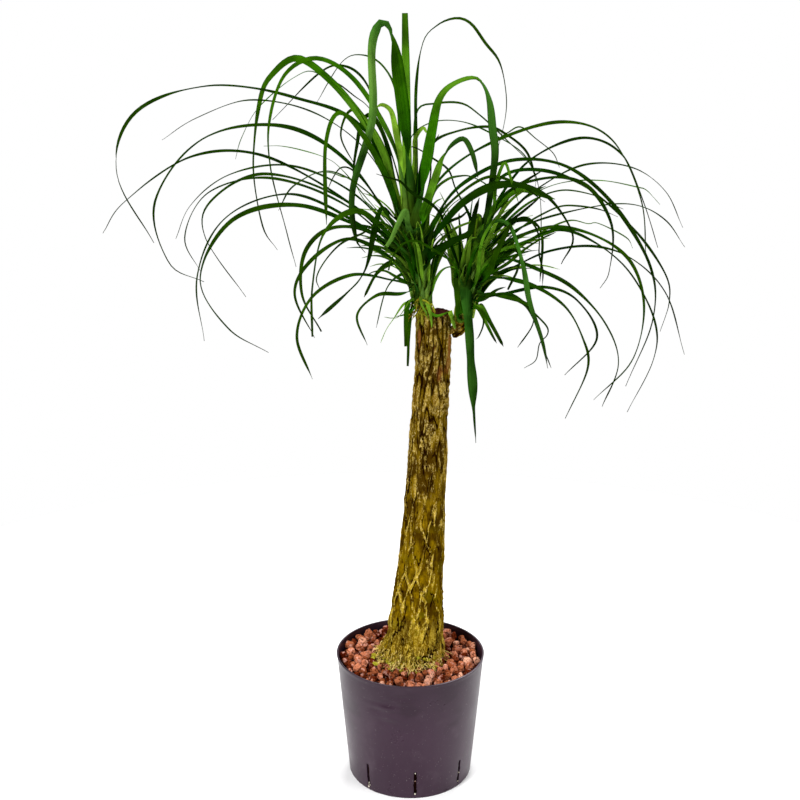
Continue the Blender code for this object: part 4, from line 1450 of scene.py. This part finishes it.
# %% Smaller leaf table
MORE_LEFT = (
    ("bent_1", 83, 11, 4, 1, (85, 85, 70, 50), ((-1, 87), (-1.5, 91.5), (-2, 94), (-2.5, 96.5),
        (-3, 97.5), (-4, 98), (-5, 97.5))),
    ("bent_2", 82, 9, 3, 1, (80, 80, 60, 50), ((0, 85.5), (.5, 91), (.5, 93.5), (1.5, 95),
        (2, 94.5), (2.5, 94))),
    ("thin_1", 82, 4, 12, .15, 30, ((-2, 89), (-4, 94.5), (-6, 97.5), (-8, 99), (-10, 100.5),
        (-11, 101))),
    ("strip_1", 80.5, 8, 9, .1, (50, 40, 50, 50), ((-2, 86.5), (-3.5, 93), (-5, 96), (-6, 96.5),
        (-7, 95), (-7.5, 92.5), (-8, 89.5), (-8, 86))),
    ("faint_1", 80, 2, -10, .6, 20, ((-5, 85.5), (-9, 90.5), (-11, 92), (-14, 93), (-16.5, 93.5),
        (-18.5, 93.5))),
    ("pale_arc", 82, 2.2, 8, .5, 25, ((-3, 88), (-7, 97), (-12.5, 102), (-16, 101.5), (-21, 97.5),
        (-23.5, 93.5), (-24.5, 90.5))),
    ("thin_2", 80, 4, -6, .1, 30, ((-5, 87), (-7.5, 90), (-9, 90.5), (-10, 89.5), (-11, 87.5))),
    ("folded_1", 81, -8, -17, (.5, .6, .65, .7), (-60, -65, -65), ((-.6, 83.8), (-.8, 85.6),
        (-1.2, 85.4), (-2, 84), (-2.6, 82.8), (-3.2, 82))),
    ("thin_3", 74.3, 4, -6, .4, 40, ((-2, 76), (-3.5, 77), (-5, 77), (-6, 76.5))),
    ("faint_2", 79, 3, 4, .6, 20, ((-5, 84), (-6.5, 85.5), (-8, 88), (-9.5, 88.5), (-11, 89),
        (-12.5, 89))),
    ("dark_3", 76, 11, -9, .05, (60, 60, 50), ((2.5, 79), (4.5, 80.5), (6, 81.5), (7.5, 82.5),
        (8, 85), (8.5, 87))),
    ("thin_4", 76.5, 6, -4, .3, 40, ((3, 81), (4.5, 83), (6.5, 84), (7.5, 85))),
    ("thin_5", 75.5, 5, -6, .8, 40, ((3, 80), (5.5, 82.5), (7.5, 83.5), (8.5, 84))),
    ("thin_6", 74.8, 5, -2, .5, 30, ((2.5, 76.5), (4, 79), (6, 80), (7, 80.5))),
    ("thin_7", 80, 5, -8, .3, 30, ((2, 84), (3, 87.5), (4.5, 89), (6, 89.5), (7.5, 89.5),
        (9.5, 88.5), (11, 87))),
    ("thin_8", 81.5, 4, 14, .5, 25, ((-.5, 89), (0, 93.5), (3, 95.5), (7, 95.5), (11, 94), (16, 91),
        (18, 87.5), (18, 85.5))),
    ("strip_2", 82, 6, -3, .15, 30, ((2, 86.5), (2.5, 89.5), (2.5, 92.5), (3.5, 94.5))),
    ("thin_9", 79, 4, -14, .3, 30, ((-3.5, 83.5), (-6.5, 82.5), (-9, 81.5), (-11, 79.5),
        (-12, 77.5), (-11.5, 76))),
    ("fray_1", 71, 2.5, -3, .9, 20, ((-.8, 72), (-2.4, 70), (-3.4, 68.6), (-4.2, 66.8))),
    ("fray_2", 71.6, 2.5, -6, .8, 20, ((0, 72.8), (-1.6, 71), (-2.6, 70.8), (-3.6, 71))),
)
MORE_RIGHT = (
    ("far_left", 75.5, 6, -9, .05, 40, ((7, 75.5), (5.5, 79.5), (4, 84), (2.5, 86), (0, 87.5),
        (-1.5, 89), (-3, 89.5), (-4.5, 90))),
    ("arch_left", 80, 5, 2, .1, 30, ((8, 83), (6, 87), (5, 89.5), (3, 91), (.5, 92.5), (-1, 92.5))),
    ("over_gap", 73.5, -3, -13, .4, (40, 50, 60), ((5.6, 78), (3.6, 79.8), (2, 81), (.6, 81.8),
        (-.6, 81.8), (-1.6, 81.2), (-2.6, 79.8), (-3, 78.4))),
    ("in_1", 74, 6.5, -6, .9, (60, 55, 50), ((9.5, 76), (9.5, 79.5), (10.5, 82), (11.5, 84.5),
        (13, 86.5), (15, 88))),
    ("in_2", 73, 5.5, -9, .65, 60, ((8.8, 76.8), (8.8, 79.4), (9.2, 81.8), (10.2, 83.8),
        (11.2, 85.2))),
    ("in_3", 74.5, 10, -11, .2, 60, ((10.2, 77), (10.6, 78.8), (11.2, 81), (11.8, 82.6),
        (12.4, 84.2))),
    ("in_4", 73.5, 5.5, -5, .5, (50, 45), ((10, 76), (12, 78.5), (13.5, 80), (15.5, 81), (18, 82),
        (19.5, 82.5))),
    ("in_5", 74.2, 5, -2, .6, (45, 40), ((10.5, 76.5), (12.5, 79), (14.5, 81), (17, 82),
        (19, 82.5))),
    ("in_6", 73.2, 5, -8, .3, 40, ((10, 76), (12.5, 78), (14.5, 80), (16.5, 81.5), (18.5, 82.5))),
    ("in_7", 79, 5.5, -4, .4, (45, 40), ((11, 80.5), (11.5, 82.5), (13.5, 85), (15.5, 87),
        (17.5, 88))),
    ("in_8", 78, 6, 6, .2, 40, ((11.5, 79.5), (13.5, 82), (15.5, 83.5), (18, 85.5))),
    ("in_9", 80, 6, 3, .3, 40, ((11, 81.5), (12.5, 84.5), (14, 87), (15.5, 88), (18, 89.5))),
    ("fall_1", 81, 6, -14, .6, 50, ((10.5, 84.5), (10.5, 88.5), (11, 91), (11.5, 91.5), (12, 90),
        (12.5, 88.5), (13, 87))),
    ("hang_1", 78, 5, -8, .1, 40, ((11.5, 81), (13.5, 83.5), (15, 84), (16, 83), (16.5, 81.5),
        (16.5, 79.5), (17, 77.5), (17, 75.5))),
    ("hang_2", 75, -6, -9, .1, 40, ((11.4, 78.2), (13, 80), (14, 79.4), (13.6, 77.6), (13, 76.4),
        (12.4, 75.2))),
    ("short_1", 72.5, 6, -8, .1, 40, ((9.6, 73.2), (11, 74.8), (12.2, 75.4))),
    ("stub", 69.3, -8, -5, .35, 80, ((6.2, 72.6), (5.8, 76))),
    ("arc_1", 76, 4, 4, .3, 30, ((12, 79), (15.5, 82), (18, 83.5), (20.5, 84.5), (23, 84.5),
        (26, 84), (28.5, 83))),
    ("arc_2", 79, 4, 0, .3, 30, ((12.5, 82.5), (16, 85.5), (20, 87), (24, 86.5), (26, 85.5),
        (28.5, 84.5))),
    ("arc_3", 75, 4, 5, .7, 25, ((12, 77), (16.5, 80), (19, 81.5), (22, 82.5), (24.5, 82), (26, 82),
        (30, 80), (31, 78.5))),
    ("arc_4", 80, 3, 10, .6, 20, ((13.5, 84), (18, 86.5), (22, 87.5), (27, 87.5), (32, 86.5),
        (33.5, 86), (35.5, 84))),
    ("curl_1", 73, 5, -12, .15, (40, 30), ((10.5, 73.5), (13, 74), (15, 73), (16, 72), (17.5, 70.5),
        (17.5, 69.5), (16.5, 68.5), (16, 66.5), (14.5, 65.5))),
    ("thin_1", 73.3, 5, -8, .15, (40, 30), ((10, 73), (12, 73.5), (14, 73), (15.5, 72), (17, 69),
        (17.5, 67), (18.5, 64.5))),
    ("yellow_2", 71.5, 6, -6, (.95, .7, .2), 50, ((9, 71.6), (9.6, 70.6), (10.8, 68.4),
        (11.4, 67.4))),
    ("curl_2", 71, 4, -9, .3, 50, ((8.6, 72), (9.4, 71.2), (9.4, 70.2), (8.8, 69), (8.4, 68.6))),
    ("thin_2", 80.5, 3.5, 6, .3, 25, ((11, 85.5), (11.5, 92.5), (13.5, 94.5), (15, 95), (17, 93.5),
        (19.5, 91.5), (20.5, 89.5))),
)


def lay_more(label, stations, rows):
    for number, (leaf_name, *row) in enumerate(rows, start=1):
        hand_over(lay_leaf(f"{label}_{leaf_name}", stations, row, 200 + number), "blade")
    print("more leaves", label, len(rows))


lay_more("left", LEFT_SHOOT, MORE_LEFT)
lay_more("right", RIGHT_SHOOT, MORE_RIGHT)

# %% [markdown]
# ### The hearts of the crowns
# Each crown is a tight rosette: dozens of leaves stand against the stem one outside the other,
# and their bases hide it. They follow the golden angle, so that no two stand in line. The lowest
# lean out most. They are short here, because the long leaves above carry on where they end.

# %% Rosettes
GOLDEN_TURN = math.radians(137.5)
# Name, stem, how many leaves, lowest and highest root in centimetres, shortest and longest leaf,
# and how far they all lean to one side (+ is right).
ROSETTES = (
    ("heart_left", LEFT_SHOOT, 60, 71.2, 78.5, 0.08, 0.16, -0.35),
    ("heart_right", RIGHT_SHOOT, 62, 69.6, 76.5, 0.08, 0.17, 0.75),
)
HUG_LIFT = 80
HEART_STEPS = 7
FALL_LOW, FALL_LESS = 95, 30
# Low leaves that would point straight at the other crown are left out.
CROWDED = 0.70
# The hearts' tones lean pale: partly young leaves, partly painted light that lifts the shade deep
# in the rosettes.
YOUNG_AND_LIT_HEART_TONES = (0.1, 0.4, 0.65, 0.85, 1.0, 1.0)


def heart_route(stations, root_height, bearing, length, fall, lean, drift):
    """A leaf that climbs the stem, leans out and droops."""
    root_z, axis_x, radius = stem_at(stations, root_height * CM)
    outward = way_of(bearing)
    place = Vector((axis_x, 0, root_z)) + outward * (radius + SEAT_GAP)
    places = [place]
    for i in range(HEART_STEPS):
        share = (i + 0.5) / HEART_STEPS
        way = way_of(bearing + drift * share, math.radians(HUG_LIFT - fall * share ** 1.5))
        way = (way + Vector((lean * share, 0, 0))).normalized()
        place = place + way * (length / HEART_STEPS)
        places.append(place)
    return places, outward


def rosette(name, stations, count, low, high, shortest, longest, lean):
    chance = random.Random(len(name))
    leaves = []
    for i in range(count):
        share = i / (count - 1)
        root_height = low + (high - low) * share
        bearing = i * GOLDEN_TURN + chance.uniform(-0.2, 0.2)
        length = chance.uniform(shortest, longest) * (1.2 - 0.45 * share)
        inward = max(0.0, -math.cos(bearing) * (1 if lean > 0 else -1))
        length *= 1 - 0.5 * inward * (1 - share)
        fall = (FALL_LOW - FALL_LESS * share) * chance.uniform(0.7, 1.25)
        drift = chance.uniform(-0.5, 0.5)
        places, outward = heart_route(stations, root_height, bearing, length, fall, lean, drift)
        width = chance.uniform(3.5, 7.5)
        turns = (chance.uniform(20, 65), chance.uniform(20, 80), chance.uniform(10, 70))
        tone = chance.choice(YOUNG_AND_LIT_HEART_TONES)
        if inward * (1 - share) <= CROWDED:
            leaves.append(lay_strip(
                f"{name}_{i}", short_blank, places, width, turns, tone, outward, 500 + i))
    heart = joined(name, leaves)
    heart.data.materials[0] = YOUNG_TOP
    hand_over(heart, "blade")
    return heart


hearts = [rosette(*row) for row in ROSETTES]
print("hearts:", [len(heart.data.polygons) for heart in hearts], "faces")

# %% [markdown]
# ### Straw and moss
# Where the trunk meets the granules it wears a skirt of torn bark fibres and moss, which creeps
# out over the stones at the left. One thin three-sided spike and one rough ball are enough: each
# is copied many times, at chance sizes and turns.

# %% Straw and moss
FIBRES = 440
MOSS_TUFTS = 60
SKIRT_TOP, SKIRT_LOW, MOSS_TOP = 0.212, 0.180, 0.205
SKIRT_EDGE = SKIRT_LOW + 0.006
SPIKE_BOW = 7
TUFT_ROUGH = 0.45
FIBRE_LENGTHS, FIBRE_THICKS, FIBRE_OUT = (0.004, 0.015, 0.006), (0.4, 0.85), 0.8
LOW_FIBRE_TONES, HIGH_FIBRE_TONES = (0.1, 0.80, 1.0, 1.0, 1.0), (0.05, 0.30, 0.60, 0.80, 1.0)
MOSS_TONES = (0.1, 0.35, 0.45, 0.52)


def trunk_skin(turn, height):
    """A place on the trunk's smooth skin."""
    lean, reach = trunk_reach(turn, height)
    return Vector((lean + reach * math.cos(turn), reach * math.sin(turn), height))


def spike():
    bpy.ops.mesh.primitive_cone_add(
        vertices=3, radius1=1, radius2=0.25, depth=1, location=(0, 0, 0.5))
    made = begin("spike")
    pick(made, "edges", lambda e: rise_of(e) > 0.5)
    bpy.ops.mesh.subdivide(number_cuts=3)
    leave_edit()
    for point in made.data.vertices:
        point.co.y += SPIKE_BOW * (point.co.z * (1 - point.co.z))
    return made


def tuft():
    bpy.ops.mesh.primitive_ico_sphere_add(subdivisions=2, radius=1)
    made = begin("tuft")
    bpy.ops.transform.vertex_random(offset=TUFT_ROUGH, uniform=0.2, normal=0.6, seed=5)
    leave_edit()
    return made


def skirt_turn(chance):
    """A bearing that falls mostly on the left and the front."""
    left, front, anywhere = chance.gauss(-155, 32), chance.gauss(-95, 45), chance.uniform(-180, 180)
    return math.radians(chance.choice((left, front, anywhere)))


def straw_copies(fibre, clump):
    chance = random.Random(31)
    for _ in range(FIBRES):
        turn = skirt_turn(chance)
        height = chance.triangular(SKIRT_LOW, SKIRT_TOP, SKIRT_EDGE)
        low = 1 - (height - SKIRT_LOW) / (SKIRT_TOP - SKIRT_LOW)
        droop = math.radians(chance.uniform(-8, 22) + 60 * (1 - low))
        way = way_of(turn + chance.gauss(0, 1.2), -droop)
        long = chance.triangular(*FIBRE_LENGTHS) * (0.6 + 0.5 * low)
        thick = chance.uniform(*FIBRE_THICKS) * MM
        roll = Matrix.Rotation(chance.uniform(0, 6.28), 4, "Z")
        place = Matrix.Translation(trunk_skin(turn, height) + way_of(turn) * FIBRE_OUT * MM)
        matrix = place @ way.to_track_quat("Z", "Y").to_matrix().to_4x4() @ roll
        tone = chance.choice(LOW_FIBRE_TONES if low > 0.6 else HIGH_FIBRE_TONES)
        yield fibre, matrix @ Matrix.Diagonal((thick, thick, long, 1)), tone
    for _ in range(MOSS_TUFTS):
        turn = skirt_turn(chance)
        height = chance.triangular(SKIRT_LOW - 0.001, MOSS_TOP, SKIRT_LOW)
        out = chance.triangular(-1, 14, 0) * MM if height < SKIRT_EDGE else 0
        size = chance.uniform(1.2, 3.0) * MM
        shape = Matrix.Diagonal((size * chance.uniform(0.8, 1.7), size, size * 0.7, 1))
        roll = Matrix.Rotation(chance.uniform(0, 6.28), 4, "Z")
        matrix = Matrix.Translation(trunk_skin(turn, height) + way_of(turn) * out) @ roll @ shape
        yield clump, matrix, chance.choice(MOSS_TONES)


fibre, clump = spike(), tuft()
straw = heap_of("foot_straw", straw_copies(fibre, clump), STRAW)
discard(fibre, clump)
smooth(straw, 60)
hand_over(straw, "bark")
print("straw and moss:", len(straw.data.polygons), "faces")

# %% [markdown]
# Old leaf bases hang in rags round the cut top: a tangle of straw at the foot of the left shoot,
# green strips over the front of the cut, and a torn flap of bark with a yellow sheath where the
# right shoot leaves the trunk.

# %% Rags and sheath
# Name, width in millimetres, tone, turns, and the (x, y, z) places in centimetres.
RAGS = (
    ("rag_across", 4, .60, (75, 70, 60),
     ((2.4, -2.6, 70.9), (3.4, -2.9, 70.5), (4.4, -2.7, 70.7), (5.2, -2.2, 71.0))),
    ("rag_front", 5, .90, (80, 80, 70),
     ((2.1, -2.2, 72.2), (2.5, -2.8, 71.0), (2.7, -2.9, 70.0), (2.8, -2.8, 68.8))),
    ("rag_left", 4, .85, (60, 60, 50),
     ((1.2, -2.1, 73.0), (1.4, -2.6, 72.0), (2.0, -2.8, 70.9), (2.3, -2.8, 69.9))),
    ("rag_side", 3, .50, (60, 60, 50),
     ((0.6, -2.0, 71.6), (-0.2, -2.4, 70.9), (-1.2, -2.5, 70.5), (-2.2, -2.4, 70.3))),
)
YELLOW_SHEATH = (
    "yellow_sheath", -6, 1.0, (80, 60, 50),
    ((5.2, -1.6, 70.9), (5.5, -1.9, 70.2), (5.7, -1.9, 69.4), (6.0, -1.8, 68.5)))


def lay_rag(row, number):
    rag_name, width, tone, turns, places = row
    route = [Vector(place) * CM for place in places]
    rag = lay_strip(rag_name, short_blank, route, width, turns, tone, None, number)
    hand_over(rag, "blade")


for number, row in enumerate(RAGS, start=700):
    lay_rag(row, number)
print("rags:", len(RAGS))

# %% Straw on the cut
STRAWS = 46
STRAW_FOOT = Vector((0.0130, -0.0150, 0.7150))
STRAW_TONES_USED = (0.3, 0.45, 0.5, 0.5, 0.52)


def top_straw():
    """Dry strips that spill from the foot of the left shoot over the cut."""
    chance = random.Random(77)
    strips = []
    for i in range(STRAWS):
        start = STRAW_FOOT + Vector((
            chance.gauss(0, 0.007), chance.uniform(-0.008, 0.004), chance.gauss(0, 0.006)))
        way = Vector((
            chance.gauss(-0.1, 0.7), chance.uniform(-0.5, 0.1), chance.uniform(-1.0, 0.15)))
        way.normalize()
        long = chance.uniform(0.008, 0.020)
        sag = Vector((0, 0, -0.25 * long))
        places = [start, start + way * long * 0.4, start + way * long * 0.8 + sag,
                  start + way * long + sag * 2]
        tone = chance.choice(STRAW_TONES_USED)
        turns = (chance.uniform(30, 90), chance.uniform(20, 80))
        width = chance.uniform(1.2, 2.6)
        strips.append(lay_strip(
            f"straw_{i}", short_blank, places, width, turns, tone, None, 800 + i))
    made = joined("top_straw", strips)
    coat(made, STRAW)
    return made


hand_over(top_straw(), "bark")

# %% Torn flap
FLAP_MIDDLE = Vector((0.0520, -0.0080, 0.6800))
FLAP_LONG, FLAP_WIDE, FLAP_THICK = 0.019, 0.014, 0.0050
FLAP_TURN, FLAP_ROUGH = (0.2, -0.55, 0), 0.0012
FLAP_CREST, FLAP_CRACK = 0.3, 0.1


def torn_flap():
    """A torn tongue of bark that points up and out to the right."""
    bpy.ops.mesh.primitive_cube_add(size=1)
    flap = begin("torn_flap")
    bpy.ops.mesh.subdivide(number_cuts=5)
    bpy.ops.transform.resize(value=(FLAP_LONG, FLAP_WIDE, FLAP_THICK))
    pick(flap, "verts", lambda v: v.co.x > 0.3 * FLAP_LONG)
    bpy.ops.transform.resize(value=(1, 0.7, 0.5))
    bpy.ops.mesh.select_all(action="SELECT")
    bpy.ops.transform.vertex_random(offset=FLAP_ROUGH, uniform=0.4, seed=9)
    leave_edit()
    flap.rotation_euler = FLAP_TURN
    flap.location = FLAP_MIDDLE + Vector((0.35 * FLAP_LONG, 0, 0.003))
    settle(flap)
    apply(flap, "SUBSURF", levels=2, render_levels=2)
    store(flap, "crest", [FLAP_CREST] * len(flap.data.vertices))
    store(flap, "crack", [FLAP_CRACK] * len(flap.data.vertices))
    coat(flap, BARK)
    flap.data.shade_smooth()
    return flap


hand_over(torn_flap(), "bark")
lay_rag(YELLOW_SHEATH, 0)
print("flap and sheath laid")

# %% [markdown]
# ## Finish
# The blanks have done their work.

# %% Finish
discard(long_blank, short_blank)
